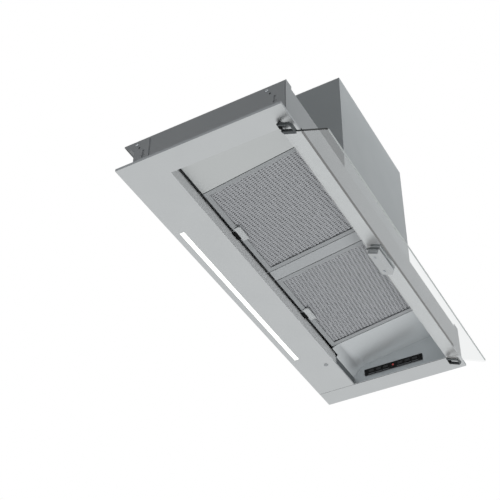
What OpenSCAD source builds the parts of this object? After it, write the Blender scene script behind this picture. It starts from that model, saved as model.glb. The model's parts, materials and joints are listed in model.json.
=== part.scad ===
// Integrated range hood for a 900 mm wall cabinet, opened to show its parts.
// Frame: origin at the middle of the plane where the cabinet sits on the plate's rim.
// X runs left to right, the front is towards -Y, and Z points up into the cabinet.

/* [Face plate] */
// Width of the stainless plate, left to right
plate_w = 898; // [860:1:1000]
// Depth of the plate, front to back
plate_d = 347; // [335:1:380]
// Height of the folded rim, from the underside up to the cabinet
rim_h = 6; // [5:0.5:9]
// Thickness of the plate's sheet
sheet_t = 1.5; // [1.2:0.1:2]
// Width of the flange that the cabinet's side panels sit on
seat_flange_w = 12; // [8:1:16]
// Border of the plate at each end of the opening
end_border = 51.5; // [48:0.5:60]
// Border of the plate in front of the opening
front_border = 26.5; // [24:0.5:34]
// Strip of the plate behind the opening
back_strip = 89.5; // [84:0.5:96]
// Width of the seam between the plate and its right end piece
seam_w = 0.8; // [0.2:0.1:1]

/* [Chassis] */
// Height of the chassis above the cabinet's lower edge
chassis_h = 76; // [74:1:90]
// Thickness of the chassis sheet
wall_t = 1.2; // [0.8:0.1:1.4]
// Distance from the plate's end to the chassis end
end_inset = 23; // [20:0.5:26]
// Distance from the plate's back edge to the chassis back wall
back_inset = 20.5; // [19:0.5:24]
// Height of the end plates above the chassis top
end_rise = 6; // [3:0.5:10]
// Height of the ears on the front wall
ear_h = 8; // [4:0.5:12]
// Width of the ears on the front wall
ear_w = 20; // [12:1:30]
// Reach of the flared lip behind the chassis back wall
flare_out = 24; // [18:1:26]
// Height of the flared lip
flare_h = 28; // [22:1:30]

/* [Cabinet fixing] */
// Distance between the front and back fixing screws at each end
fixing_pitch = 280; // [260:1:290]
// Height of the fixing screws above the cabinet's lower edge
fixing_z = 60; // [50:1:66]
// Radius of the fixing screw holes
fixing_hole_r = 2.25; // [2:0.05:3]
// Thickness of the fixing brackets
bracket_t = 1.5; // [1:0.1:2]
// Distance of the front bracket screws from the chassis's front edge
front_screw_inset = 38; // [30:1:42]
// Distance of the back bracket screws from the chassis's back edge
back_screw_inset = 7; // [5:0.5:10]

/* [Filters] */
// Slope of the filters, rising towards the front
filter_tilt = 8.8; // [7:0.1:9.4]
// Height of the filters' lower face at their back edge
filter_back_h = 22; // [20:0.5:24]
// Width of the control bay; the two filters share what is left of the opening
bay_w = 123.5; // [110:0.5:135]
// Thickness of one grease filter
filter_t = 9; // [8:0.5:10]
// Width of the filter's folded frame
frame_w = 10; // [9:0.5:13]
// Wall of the filter's folded frame
frame_wall = 1.2; // [0.8:0.1:1.4]
// Width of the bar between the filters
bar_w = 30; // [20:1:34]
// Width of the blank panel at the left end
filler_w = 101.5; // [90:0.5:106]
// Gap between a filter and its neighbours
filter_gap = 1.5; // [1:0.1:2]
// Suction slot behind the filters
rear_slot = 5.5; // [4.2:0.1:6]
// Space in front of the filters for their hinge pins
front_space = 8.5; // [8:0.5:10]
// Radius of the filter's hinge pins
filter_pin_r = 1.8; // [1.5:0.1:2]
// Width of the filter latch's finger tab
latch_w = 40; // [30:1:50]
// Travel of the filter latch
latch_travel = 4; // [3:0.1:4.2]

/* [Visor] */
// Length of the glass visor, left to right
visor_l = 786; // [700:1:790]
// Reach of the glass from its pivot to its free edge
visor_reach = 93; // [80:1:110]
// Thickness of the glass
glass_t = 4; // [3:0.1:5]
// Slope of the opened visor below level
visor_tilt = 23; // [18:0.5:28]
// Depth of the visor's pivot below the plate's underside
pivot_drop = 6; // [5.6:0.1:8]
// Distance of the visor's pivot in front of the opening's edge
pivot_setback = 2; // [1.5:0.1:4]
// Radius of the visor's pivot pins
pivot_r = 2; // [1.5:0.1:2.5]
// Length of the clamp at the middle of the visor
clamp_l = 74; // [50:1:100]
// Depth of the clamp's thick jaw below the glass
clamp_drop = 12; // [8:0.5:12.5]

/* [Controls] */
// Length of the black control strip
strip_l = 144; // [134:1:150]
// Height of the control strip
strip_h = 16; // [14:0.5:20]
// Middle of the control strip, front to back
strip_y = -18; // [-24:1:-10]
// Middle of the control strip above the cabinet's lower edge
strip_z = 15; // [12:0.5:17]
// Distance between neighbouring buttons
button_pitch = 18; // [15:0.5:19]
// Length of a button
button_l = 12; // [9:0.5:13]
// Height of a button
button_h = 6; // [5:0.5:8]
// Travel of a button
button_travel = 1.2; // [0.6:0.1:1.4]
// Height of the control bay's ceiling above the filters' lower face
bay_rise = 12; // [11:0.5:16]
// Depth of the slope at the back of the control bay
bay_scoop = 24; // [18:1:30]
// Height of the upright wall below that slope, above the cabinet's lower edge
bay_knee = 11; // [9:0.5:13]
// Length by which the suction slot runs on behind the control bay
slot_run = 28; // [10:1:34]

/* [Lamp] */
// Length of the lit strip
lamp_l = 490; // [300:1:700]
// Width of the lit strip
lamp_w = 9.5; // [8:0.5:12]
// Distance from the plate's back edge to the middle of the lit strip
lamp_inset = 18; // [16:0.5:20]
// Radius of the sensor window in the back strip
sensor_r = 5; // [3:0.5:7]

/* [Motor box] */
// Width of the motor box
box_w = 322; // [310:1:360]
// Depth of the motor box
box_d = 240; // [236:1:270]
// Height of the motor box above the chassis
box_h = 268; // [262:1:300]
// Middle of the motor box, left to right
box_x = -20; // [-60:1:40]
// Width of the motor box's foot flange
foot_w = 12; // [10:1:16]

/* [Electronics] */
// Length of the electronics box on the chassis roof
term_l = 120; // [90:1:140]
// Depth of the electronics box
term_d = 84; // [60:1:100]
// Height of the electronics box
term_h = 34; // [32:1:60]
// Distance of the electronics box from the chassis's front edge
term_inset = 70; // [60:1:76]
// Radius of the cable grommet's hole
gland_r = 8; // [5:0.5:10]
// Radius of the motor lead
lead_r = 3; // [2:0.1:4]
// Radius of the motor capacitor
capacitor_r = 15; // [12:0.5:18]
// Length of the motor capacitor
capacitor_l = 62; // [54:1:90]
// Distance of the lamp driver's left end from the middle of the hood
driver_x = 60; // [40:1:90]
// Length of the lamp driver
driver_l = 100; // [80:1:120]
// Width of the lamp driver
driver_w = 34; // [30:1:38]
// Height of the lamp driver
driver_h = 22; // [16:1:26]
// Length of the lamp driver's two feet
driver_foot = 8; // [6:0.5:10]
// Distance of the lamp driver from the back edge of the opening
driver_gap = 20; // [16:1:22]

/* [Blower] */
// Outer radius of the fan wheel
wheel_r = 72; // [66:1:74]
// Width of the fan wheel
wheel_w = 100; // [90:1:104]
// Number of blades on the fan wheel
blade_n = 36; // [24:1:44]
// Width of the scroll housing
scroll_w = 120; // [114:1:130]
// Radius of the scroll at its tongue
scroll_r0 = 80; // [78:0.5:82]
// Radius of the scroll at its outlet
scroll_r1 = 120; // [112:1:122]
// Wall of the scroll housing
scroll_t = 2; // [1.5:0.1:2.5]
// Radius of the scroll's air inlets
inlet_r = 60; // [54:1:62]
// Distance of the fan's axis from the front of the motor box
blower_inset = 132; // [128:1:136]
// Height of the fan's axis above the floor of the motor box
blower_rise = 114; // [110:1:118]
// Radius of the motor
motor_r = 42; // [36:1:46]
// Length of the motor
motor_l = 70; // [60:1:78]
// Radius of the motor shaft
shaft_r = 4; // [3:0.1:5]

/* [Duct collar] */
// Outer radius of the duct collar
collar_r = 61.5; // [58:0.5:62]
// Height of the duct collar
collar_h = 42; // [38:1:60]
// Wall of the duct collar
collar_t = 1.5; // [1:0.1:2]
// Distance of the duct collar's axis from the front of the motor box
collar_inset = 78; // [76:1:80]
// Radius of the flap axle
axle_r = 1.5; // [1:0.1:2]
// Thickness of a flap
flap_t = 0.8; // [0.6:0.1:1]

/* [Fits] */
// Radial clearance of pins and shafts in their bores
run_fit = 0.06; // [0.02:0.01:0.1]
// Clearance between pieces that slide past each other
slide_fit = 0.3; // [0.2:0.05:0.4]

/* [Hidden] */
$fn = 64;
x_end = plate_w / 2;
y_front = -plate_d / 2;
y_back = plate_d / 2;
under = -rim_h;
skin_top = under + sheet_t;
open_x = x_end - end_border;
open_front = y_front + front_border;
open_back = y_back - back_strip;

chassis_x = x_end - end_inset;
chassis_front = y_front + sheet_t;
chassis_back = y_back - back_inset;
flare_z = chassis_h - flare_h + 3;
fixing_x = chassis_x + bracket_t;
screw_r = 1.4;

filter_back_y = open_back - rear_slot;
filter_len = (filter_back_y - open_front - front_space) / cos(filter_tilt);
filter_w = open_x - (filler_w + bar_w + bay_w) / 2 - 2 * filter_gap;
left_filter_x = -open_x + filler_w + filter_gap;
bar_x = left_filter_x + filter_w + filter_gap;
right_filter_x = bar_x + bar_w + filter_gap;
bay_x = right_filter_x + filter_w + filter_gap;
panel_len = (filter_back_y - open_front - wall_t - slide_fit) / cos(filter_tilt);
pin_offset = 4;
pin_v = filter_len + pin_offset;
pin_w = filter_t / 2;
pin_place = 20;
pin_l = 22;
lug_l = 8;
cradle_l = 5.5;
ledge = 8;
rail_top = filter_back_h + 2;
panel_wall_h = 8;
hook_foot = (rail_top - filter_back_h + (open_back + sheet_t + wall_t - filter_back_y) * tan(filter_tilt)) * cos(filter_tilt) + 0.02;
hook_reach = rear_slot + sheet_t + wall_t + 0.8;

pivot_y = open_front - pivot_setback;
pivot_z = under - pivot_drop;
arm_out = 25;
arm_grip = 4;
arm_bar = 3;
arm_t = 6;
arm_eye_r = 3.5;
arm_corner = 5;
arm_reach = 27;
pad_t = 0.8;
jaw_t = 1.8;
clamp_back = sqrt(pow(pivot_drop - slide_fit, 2) - pow(glass_t / 2 + pad_t + jaw_t, 2));
lug_x = visor_l / 2 + 9.5;
pivot_lug_l = 7;

control_x = open_x - wall_t;
fascia_t = 2.5;
button_ys = [for (k = [3, 2, 1, -1, -2, -3]) strip_y + k * button_pitch];
housing_d = 20;

lamp_y = y_back - lamp_inset;
lamp_margin = 5;
lamp_channel_w = lamp_w + 4.5;
lamp_channel_h = 6.5;
sensor_x = 295;
sensor_y = open_back + 22;

box_top = chassis_h + box_h;
box_front = chassis_front;
box_back = box_front + box_d;
blower_y = box_front + blower_inset;
blower_z = chassis_h + blower_rise;
tongue_angle = 100;
outlet_front = blower_y - scroll_r1;
outlet_back = blower_y + scroll_r0 * cos(tongue_angle);
scroll_top = box_top - wall_t;
tongue_z = blower_z + scroll_r0 * sin(tongue_angle);
scroll_left = box_x - scroll_w / 2;
scroll_right = box_x + scroll_w / 2;
motor_x = box_x + 16;
mount_ring_r = 70;
mount_h = 6;
mount_arm_w = 14;
mount_arm_t = 2.5;
ring_l = 12;
ring_t = 3;
nose_l = 6;
nose_r = 14;
fin_start = 8;
fin_stop = 30;
fin_h = 3;
fin_t = 3;
shaft_tip = 18;
shaft_seat = 32;
blade_depth = 12;
hub_l = 14;
hub_r = 12;

term_x = box_x + box_w / 2 + 40;
term_y = box_front + term_inset;
term_t = 2;
term_top = chassis_h + term_h;
lead_y = term_y + term_d / 2;
lead_z = chassis_h + 20;
gland_y = lead_y;
gland_z = chassis_h + 18;
capacitor_z = chassis_h + 30;

collar_y = box_front + collar_inset;
collar_inner = collar_r - collar_t;
collar_foot_r = collar_r + 8;
flap_z = box_top + 16;
flap_r = collar_inner - 1.2;

// Box between two opposite corners
module block(low, high) {
    translate(low) cube(high - low);
}

// Things drawn lying back from the filters' rear edge: y = 0 is that edge, -Y runs up
// the slope to the front, and z = 0 is the filters' lower face
module at_filter_plane() {
    translate([0, filter_back_y, filter_back_h]) rotate([-filter_tilt, 0, 0]) children();
}

// Things drawn along the opened visor: y = 0 is its pivot, -Y runs out to the free edge
module at_visor() {
    translate([0, pivot_y, pivot_z]) rotate([visor_tilt, 0, 0]) children();
}

// Height of the filters' lower face at a place between back and front
function plane_z(y) = filter_back_h + (filter_back_y - y) * tan(filter_tilt);

// A side profile given as [y, z] points, drawn from x0 to x1
module side_profile(x0, x1, points) {
    translate([x0, 0, 0]) rotate([90, 0, 90]) linear_extrude(x1 - x0) polygon(points);
}

// A round bar along X
module bar_x_way(x0, x1, r) {
    translate([x0, 0, 0]) rotate([0, 90, 0]) cylinder(h = x1 - x0, r = r);
}

// A pan-head screw whose head sits on the origin plane and whose shank runs down
module pan_screw(head_r, shank_r, shank_l) {
    cylinder(h = head_r * 0.6, r = head_r);
    translate([0, 0, -shank_l]) cylinder(h = shank_l + 0.1, r = shank_r);
}

module face_plate() color("#b9bdbf") {
    difference() {
        union() {
            block([-x_end, y_front, under], [open_x, y_back, skin_top]);
            block([-x_end, y_front, under], [-x_end + sheet_t, y_back, 0]);
            block([-x_end, y_front, -sheet_t], [-x_end + seat_flange_w, y_back, 0]);
            block([-x_end, y_front, under], [open_x, y_front + sheet_t, 0]);
            block([-x_end, y_back - sheet_t, under], [open_x, y_back, 0]);
            block([-open_x - sheet_t, open_back, under],
                  [open_x - wall_t, open_back + sheet_t, filter_back_h - 4]);
            block([-open_x - sheet_t, open_front - sheet_t, under],
                  [open_x - wall_t, open_front, plane_z(open_front) - 7]);
            recess_left_wall();
        }
        block([-open_x, open_front, under - 1], [open_x + 1, open_back, skin_top + 1]);
        lamp_slot(slide_fit / 2);
        translate([sensor_x, sensor_y, under - 1]) cylinder(h = rim_h, r = sensor_r);
    }
}

module recess_left_wall() {
    top = 2;
    side_profile(-open_x - sheet_t, -open_x, [
        [open_front, under],
        [open_back, under],
        [open_back, plane_z(open_back) - top],
        [open_front, plane_z(open_front) - top]
    ]);
}

module lamp_slot(grow) {
    block([-lamp_l / 2 - grow, lamp_y - lamp_w / 2 - grow, under - 1],
          [lamp_l / 2 + grow, lamp_y + lamp_w / 2 + grow, skin_top + 1]);
}

module right_end_trim() color("#bcbfc1") {
    block([open_x + seam_w, y_front, under], [x_end, y_back, skin_top]);
    block([x_end - sheet_t, y_front, under], [x_end, y_back, 0]);
    block([x_end - seat_flange_w, y_front, -sheet_t], [x_end, y_back, 0]);
    block([open_x + seam_w, y_front, under], [x_end, y_front + sheet_t, 0]);
    block([open_x + seam_w, y_back - sheet_t, under], [x_end, y_back, 0]);
}

// The flared lip behind the back wall, as a [y, z] outline of one sheet
function flare_points() = [
    [chassis_back - wall_t, flare_z - 1],
    [chassis_back, flare_z - 1],
    for (a = [0:9:45]) [chassis_back + 14 * (1 - cos(a)), flare_z + 14 * sin(a)],
    [chassis_back + flare_out, flare_z + flare_h],
    [chassis_back + flare_out - wall_t * 1.4, flare_z + flare_h],
    for (a = [45:-9:0])
        [chassis_back + 14 - (14 + wall_t) * cos(a), flare_z + (14 + wall_t) * sin(a)]
];

module chassis_shell() color("#9a9da0") {
    end = chassis_x - wall_t;
    difference() {
        union() {
            block([-end, chassis_front, skin_top], [end, chassis_front + wall_t, chassis_h]);
            block([-end, chassis_front, chassis_h - wall_t],
                  [end, chassis_back + flare_out - 3, chassis_h]);
            block([-end, chassis_back - wall_t, skin_top], [end, chassis_back, flare_z]);
            side_profile(-end, end, flare_points());
            for (side = [-1, 1])
                translate([side * (end - ear_w / 2), chassis_front + wall_t / 2, chassis_h])
                    translate([-ear_w / 2, -wall_t / 2, 0]) cube([ear_w, wall_t, ear_h]);
        }
        block([-lamp_l / 2 - lamp_margin - 2, chassis_back - wall_t - 1, skin_top - 1],
              [lamp_l / 2 + lamp_margin + 2, chassis_back + 1, skin_top + lamp_channel_h + 1]);
        block([box_x - box_w / 2 + foot_w, box_front + foot_w, chassis_h - wall_t - 1],
              [box_x + box_w / 2 - foot_w, box_back - foot_w, chassis_h + 1]);
        motor_box_screw_places() translate([0, 0, -6]) cylinder(h = 8, r = screw_r + 0.1);
    }
}

module fixing_hole(side, y) {
    translate([side * chassis_x, y, fixing_z]) rotate([0, 90, 0])
        cylinder(h = 12, r = fixing_hole_r, center = true);
}

module end_plate(side) {
    x0 = side > 0 ? chassis_x - wall_t : -chassis_x;
    top = chassis_h + end_rise;
    difference() {
        side_profile(x0, x0 + wall_t, [
            [chassis_front, skin_top],
            [chassis_back, skin_top],
            [chassis_back, flare_z],
            for (a = [9:9:45]) [chassis_back + 14 * (1 - cos(a)), flare_z + 14 * sin(a)],
            [chassis_back + flare_out, flare_z + flare_h],
            [chassis_back + flare_out, top],
            [chassis_front, top]
        ]);
        for (end = [-1, 1]) fixing_hole(side, end * fixing_pitch / 2);
        chassis_screw_places(side) cylinder(h = 12, r = screw_r + 0.1, center = true);
    }
}

module left_end_plate() color("#76797c") end_plate(-1);

module right_end_plate() color("#76797c") end_plate(1);

// One fixing bracket on the outside of an end plate, with a keyhole slot for hooking on
module fixing_bracket(side, end) {
    x0 = side > 0 ? chassis_x : -chassis_x - bracket_t;
    y_mid = end * fixing_pitch / 2;
    half = end > 0 ? chassis_back - fixing_pitch / 2 - 1 : fixing_pitch / 2 + chassis_front + 50;
    y_low = end > 0 ? y_mid - 22 : chassis_front + 2;
    y_high = end > 0 ? y_mid + half : y_mid + 22;
    difference() {
        block([x0, y_low, 2], [x0 + bracket_t, y_high, chassis_h + 2]);
        fixing_hole(side, y_mid);
        chassis_screw_places(side) cylinder(h = 12, r = screw_r + 0.1, center = true);
        block([x0 - 1, y_mid - 12, 34], [x0 + bracket_t + 1, y_mid - 8, 50]);
        translate([x0 - 1, y_mid - 10, 34]) rotate([0, 90, 0]) cylinder(h = 4, r = 4);
    }
}

module fixing_brackets() color("#8d9092")
    for (side = [-1, 1], end = [-1, 1]) fixing_bracket(side, end);

// Where the fixing brackets are screwed to the end plate on one side
module chassis_screw_places(side) {
    for (y = [chassis_front + front_screw_inset, chassis_back - back_screw_inset], z = [14, chassis_h - 6])
        translate([side * fixing_x, y, z]) rotate([0, side * 90, 0]) children();
}

module chassis_screws() color("#6d6f71") for (side = [-1, 1])
    chassis_screw_places(side) pan_screw(3, screw_r, bracket_t + wall_t);

// Blank panel or bar of the filter row: its side walls hook over the rear rail
module row_panel(x0, x1) at_filter_plane() {
    block([x0, -panel_len, 0], [x1, 0, wall_t]);
    for (x = [x0, x1 - wall_t]) {
        block([x, -panel_len, 0], [x + wall_t, 0, panel_wall_h]);
        block([x, -1, hook_foot], [x + wall_t, hook_reach, panel_wall_h]);
    }
}

module left_filler_panel() color("#babdbe") row_panel(-open_x + slide_fit, -open_x + filler_w);

module filter_centre_bar() color("#9d9fa1") row_panel(bar_x, bar_x + bar_w);

// Places of the two hinge pins of a filter that starts at x0
function pin_starts(x0) = [x0 + pin_place, x0 + filter_w - pin_place - pin_l];

// Open-topped cradles that hold one hinge pin at both its ends
module pin_cradle(x0) {
    r = filter_pin_r + run_fit;
    at_filter_plane() translate([0, -pin_v, pin_w]) difference() {
        union() {
            for (x = [x0, x0 + pin_l - cradle_l]) {
                bar_x_way(x, x + cradle_l, pin_offset - slide_fit);
                block([x, -pin_offset - 2, -pin_offset + slide_fit], [x + cradle_l, 0, 1.5]);
            }
        }
        bar_x_way(x0 - 1, x0 + pin_l + 1, r);
        block([x0 - 1, -r, 0], [x0 + pin_l + 1, r, pin_offset + 2]);
    }
}

module front_filter_rail() color("#8f9294") {
    top = plane_z(open_front) + filter_t + 5;
    difference() {
        union() {
            block([-open_x, open_front, plane_z(open_front) - 12],
                  [bay_x - slide_fit, open_front + wall_t, top]);
            for (x = concat(pin_starts(left_filter_x), pin_starts(right_filter_x))) pin_cradle(x);
        }
        block([-x_end, y_front - 5, 0], [x_end, open_front, chassis_h]);
    }
    at_filter_plane() for (x = [[-open_x, filler_w], [bar_x, bar_w]])
        block([x[0] + 2, -panel_len - slide_fit, -wall_t], [x[0] + x[1] - 2, ledge - panel_len, 0]);
}

module rear_filter_rail() color("#8f9294")
    block([-open_x, open_back + sheet_t, 0], [bay_x + slot_run, open_back + sheet_t + wall_t, rail_top]);

// Folded frame of a filter that starts at x0, with a channel for the mesh
module filter_frame(x0) {
    mid = x0 + filter_w / 2;
    in = frame_wall + slide_fit;
    at_filter_plane() {
        difference() {
            block([x0, -filter_len, 0], [x0 + filter_w, 0, filter_t]);
            block([x0 + frame_w, -filter_len + frame_w, -1],
                  [x0 + filter_w - frame_w, -frame_w, filter_t + 1]);
            block([x0 + frame_wall, -filter_len + frame_wall, frame_wall],
                  [x0 + filter_w - frame_wall, -frame_wall, filter_t - frame_wall]);
            block([mid - latch_w * 0.3 - slide_fit, -in, 3 - slide_fit],
                  [mid + latch_w * 0.3 + slide_fit, 1, 5 + slide_fit]);
            block([mid - 5 - slide_fit, -frame_w - 1, -1],
                  [mid + 5 + slide_fit, -6 + slide_fit, frame_wall + 1]);
        }
        for (x = pin_starts(x0)) {
            block([x + (pin_l - lug_l) / 2, -pin_v, pin_w - 1.5],
                  [x + (pin_l + lug_l) / 2, -filter_len, pin_w + 1.5]);
            translate([0, -pin_v, pin_w]) bar_x_way(x, x + pin_l, filter_pin_r);
        }
    }
}

// Two face sheets with diamond openings; the lower one is cut out round the latch
module filter_mesh(x0) {
    mid = x0 + filter_w / 2;
    edge = frame_wall + slide_fit;
    sheet = 0.8;
    columns = 12;
    rows = 9;
    pitch_x = (filter_w - 2 * frame_w) / columns;
    pitch_y = (filter_len - 2 * frame_w) / rows;
    at_filter_plane() for (z = [edge, filter_t - edge - sheet])
        translate([0, 0, z]) linear_extrude(sheet) difference() {
            translate([x0 + edge, edge - filter_len])
                square([filter_w - 2 * edge, filter_len - 2 * edge]);
            for (i = [0:columns - 1], j = [1:rows - 2])
                translate([x0 + frame_w + pitch_x * (i + 0.5), -frame_w - pitch_y * (j + 0.5)])
                    polygon([[-6, 0], [0, -4], [6, 0], [0, 4]]);
            translate([mid - 6, -latch_travel - 11]) square([12, latch_travel + 12]);
        }
}

// Sliding latch with a finger tab below the frame and a tongue towards the rear slot
module filter_latch(x0) {
    mid = x0 + filter_w / 2;
    half = latch_w / 2;
    tongue = latch_w * 0.3;
    neck = [-9 + slide_fit, -6];
    at_filter_plane() {
        block([mid - half, -17, -2.3], [mid + half, -3, -slide_fit]);
        block([mid - half, -17, -5], [mid + half, -15, -slide_fit]);
        block([mid - 5, neck[0], -slide_fit - 0.1], [mid + 5, neck[1], 3.1]);
        block([mid - tongue, -9, 3], [mid + tongue, rear_slot - 1, 5]);
        for (side = [-1, 1])
            translate([mid + side * tongue * 0.8, -9, 3]) rotate([0, 0, side * 20])
                translate([-0.4, -8, 0]) cube([0.8, 8.5, 2]);
    }
}

module left_filter_frame() color("#8d9092") filter_frame(left_filter_x);

module left_filter_mesh() color("#919496") filter_mesh(left_filter_x);

module left_filter_latch() color("#c0c3c5") filter_latch(left_filter_x);

module right_filter_frame() color("#8d9092") filter_frame(right_filter_x);

module right_filter_mesh() color("#919496") filter_mesh(right_filter_x);

module right_filter_latch() color("#c0c3c5") filter_latch(right_filter_x);

module control_bay_liner() color("#b3b7b9") {
    rise = bay_rise / cos(filter_tilt);
    back = open_back - slide_fit;
    front = open_front + slide_fit;
    bend = back - bay_scoop;
    knee = bay_knee + 1.5 * wall_t;
    seat = bay_knee + 0.75 * wall_t;
    steepness = (plane_z(bend) + rise + wall_t / 2 - seat) / bay_scoop;
    meet = back - (plane_z(back) - seat) / (steepness - tan(filter_tilt));
    foot = under + 0.5;
    difference() {
        union() {
            side_profile(bay_x, open_x, [
                [back, bay_knee], [back, knee], [bend, plane_z(bend) + rise + wall_t],
                [front, plane_z(front) + rise + wall_t], [front, plane_z(front) + rise],
                [bend, plane_z(bend) + rise]
            ]);
            block([bay_x, back - wall_t, foot], [open_x, back, knee - wall_t / 2]);
            block([bay_x, front, foot], [open_x, front + wall_t, plane_z(front) + rise]);
            side_profile(bay_x, bay_x + wall_t, [
                [back, seat], [back, rail_top], [bend, plane_z(bend) + rise + wall_t / 2],
                [front, plane_z(front) + rise + wall_t / 2], [front, plane_z(front)],
                [meet, plane_z(meet)]
            ]);
            side_profile(control_x, open_x, [
                [back, foot], [back, knee - wall_t / 2], [bend, plane_z(bend) + rise + wall_t / 2],
                [front, plane_z(front) + rise + wall_t / 2], [front, foot]
            ]);
        }
        block([bay_x - 1, filter_back_y, under], [bay_x + slot_run, back + 1, rail_top + 12]);
        block([control_x - 1, strip_y - strip_l / 2 + 3, strip_z - strip_h / 2 + 2],
              [open_x + 1, strip_y + strip_l / 2 - 3, strip_z + strip_h / 2 - 2]);
    }
}

module control_fascia() color("#15171a") difference() {
    union() {
        block([control_x - fascia_t, strip_y - strip_l / 2, strip_z - strip_h / 2],
              [control_x, strip_y + strip_l / 2, strip_z + strip_h / 2]);
        block([control_x - 0.1, strip_y - strip_l / 2 + 3.3, strip_z - strip_h / 2 + 2.3],
              [control_x + 1, strip_y + strip_l / 2 - 3.3, strip_z + strip_h / 2 - 2.3]);
    }
    for (y = button_ys)
        block([control_x - fascia_t - 1, y - button_l / 2 - slide_fit, strip_z - button_h / 2 - slide_fit],
              [control_x + 5, y + button_l / 2 + slide_fit, strip_z + button_h / 2 + slide_fit]);
    translate([control_x - fascia_t - 1, strip_y, strip_z]) rotate([0, 90, 0])
        cylinder(h = fascia_t + 8, r = 2.5);
}

// A moulded back box behind the control wall, open towards the fascia
module control_housing() color("#2a2c2e") difference() {
    block([open_x, strip_y - strip_l / 2, -3],
          [open_x + housing_d, strip_y + strip_l / 2, strip_z + strip_h / 2 + 6]);
    block([open_x - 1, strip_y - strip_l / 2 + 2, -1],
          [open_x + housing_d - 2, strip_y + strip_l / 2 - 2, strip_z + strip_h / 2 + 4]);
}

module control_board() color("#1f5a3a") {
    x0 = open_x + housing_d - 5.6;
    block([x0, strip_y - strip_l / 2 + 4, 1], [x0 + 1.6, strip_y + strip_l / 2 - 4, 25]);
    for (y = button_ys)
        block([x0 - 4, y - 3, strip_z - 3], [x0, y + 3, strip_z + 3]);
    for (y = [-1, 1])
        translate([x0 + 1.6, strip_y + y * strip_l / 3, 12]) rotate([0, 90, 0]) cylinder(h = 2, r = 3);
}

module status_lens() color("#d23b32") translate([control_x - fascia_t - 0.4, strip_y, strip_z])
    rotate([0, 90, 0]) {
        cylinder(h = fascia_t + 1.4, r = 2.4);
        translate([0, 0, fascia_t + 1.4]) cylinder(h = 8, r = 1.8);
    }

// A button cap with a flange behind the fascia and a stem towards the board's switch
module push_button(y) {
    x0 = control_x - fascia_t - button_travel - 0.3;
    back = control_x + 1 + slide_fit;
    stem_end = open_x + housing_d - 9.6 - button_travel - slide_fit;
    block([x0, y - button_l / 2, strip_z - button_h / 2], [back, y + button_l / 2, strip_z + button_h / 2]);
    block([back, y - button_l / 2 - 1, strip_z - button_h / 2 - 1],
          [back + 1, y + button_l / 2 + 1, strip_z + button_h / 2 + 1]);
    translate([back + 1, y, strip_z]) rotate([0, 90, 0]) cylinder(h = stem_end - back - 1, r = 1.5);
}

module button_power() color("#3a3d40") push_button(button_ys[0]);

module button_speed_down() color("#3a3d40") push_button(button_ys[1]);

module button_speed_up() color("#3a3d40") push_button(button_ys[2]);

module button_light() color("#3a3d40") push_button(button_ys[3]);

module button_dimmer() color("#3a3d40") push_button(button_ys[4]);

module button_timer() color("#3a3d40") push_button(button_ys[5]);

module lamp_diffuser() color("#f6f6f2") {
    block([-lamp_l / 2, lamp_y - lamp_w / 2, under], [lamp_l / 2, lamp_y + lamp_w / 2, skin_top + 0.1]);
    block([-lamp_l / 2 - 2, lamp_y - lamp_w / 2 - 0.8, skin_top],
          [lamp_l / 2 + 2, lamp_y + lamp_w / 2 + 0.8, skin_top + 1.5]);
}

module lamp_channel() color("#a9acae") {
    half_l = lamp_l / 2 + lamp_margin;
    half_w = lamp_channel_w / 2;
    difference() {
        block([-half_l, lamp_y - half_w, skin_top], [half_l, lamp_y + half_w, skin_top + lamp_channel_h]);
        block([-half_l + wall_t, lamp_y - half_w + wall_t, skin_top - 1],
              [half_l - wall_t, lamp_y + half_w - wall_t, skin_top + lamp_channel_h - wall_t]);
    }
}

module lamp_board() color("#e8e9e4") {
    top = skin_top + lamp_channel_h - wall_t;
    block([-lamp_l / 2, lamp_y - 3.5, top - 1.2], [lamp_l / 2, lamp_y + 3.5, top]);
    step = lamp_l / 24;
    for (k = [0:23])
        block([-lamp_l / 2 + step * (k + 0.5) - 1.5, lamp_y - 1.5, top - 1.9],
              [-lamp_l / 2 + step * (k + 0.5) + 1.5, lamp_y + 1.5, top - 1.2]);
}

module lamp_driver() color("#dcdcd8") {
    x0 = driver_x;
    x1 = x0 + driver_l;
    y0 = open_back + driver_gap;
    block([x0, y0, skin_top], [x1, y0 + driver_w, skin_top + driver_h]);
    for (x = [x0 - driver_foot, x1])
        block([x, y0 + 8, skin_top], [x + driver_foot, y0 + 26, skin_top + 2.5]);
}

module plate_sensor() color("#c9ccce") translate([sensor_x, sensor_y, 0]) {
    translate([0, 0, under - 0.6]) cylinder(h = sheet_t + 1, r = sensor_r - 0.15);
    translate([0, 0, skin_top]) cylinder(h = 9, r = sensor_r + 3);
}

module visor_glass() color("#cfd6d6", 0.5) at_visor() {
    x = visor_l / 2;
    r = 5;
    translate([0, 0, -glass_t / 2]) linear_extrude(glass_t) {
        translate([-x, -visor_reach + r]) square([visor_l, visor_reach - r]);
        translate([-x + r, -visor_reach]) square([visor_l - 2 * r, r + 1]);
        for (side = [-1, 1]) translate([side * (x - r), -visor_reach + r]) circle(r);
    }
}

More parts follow.
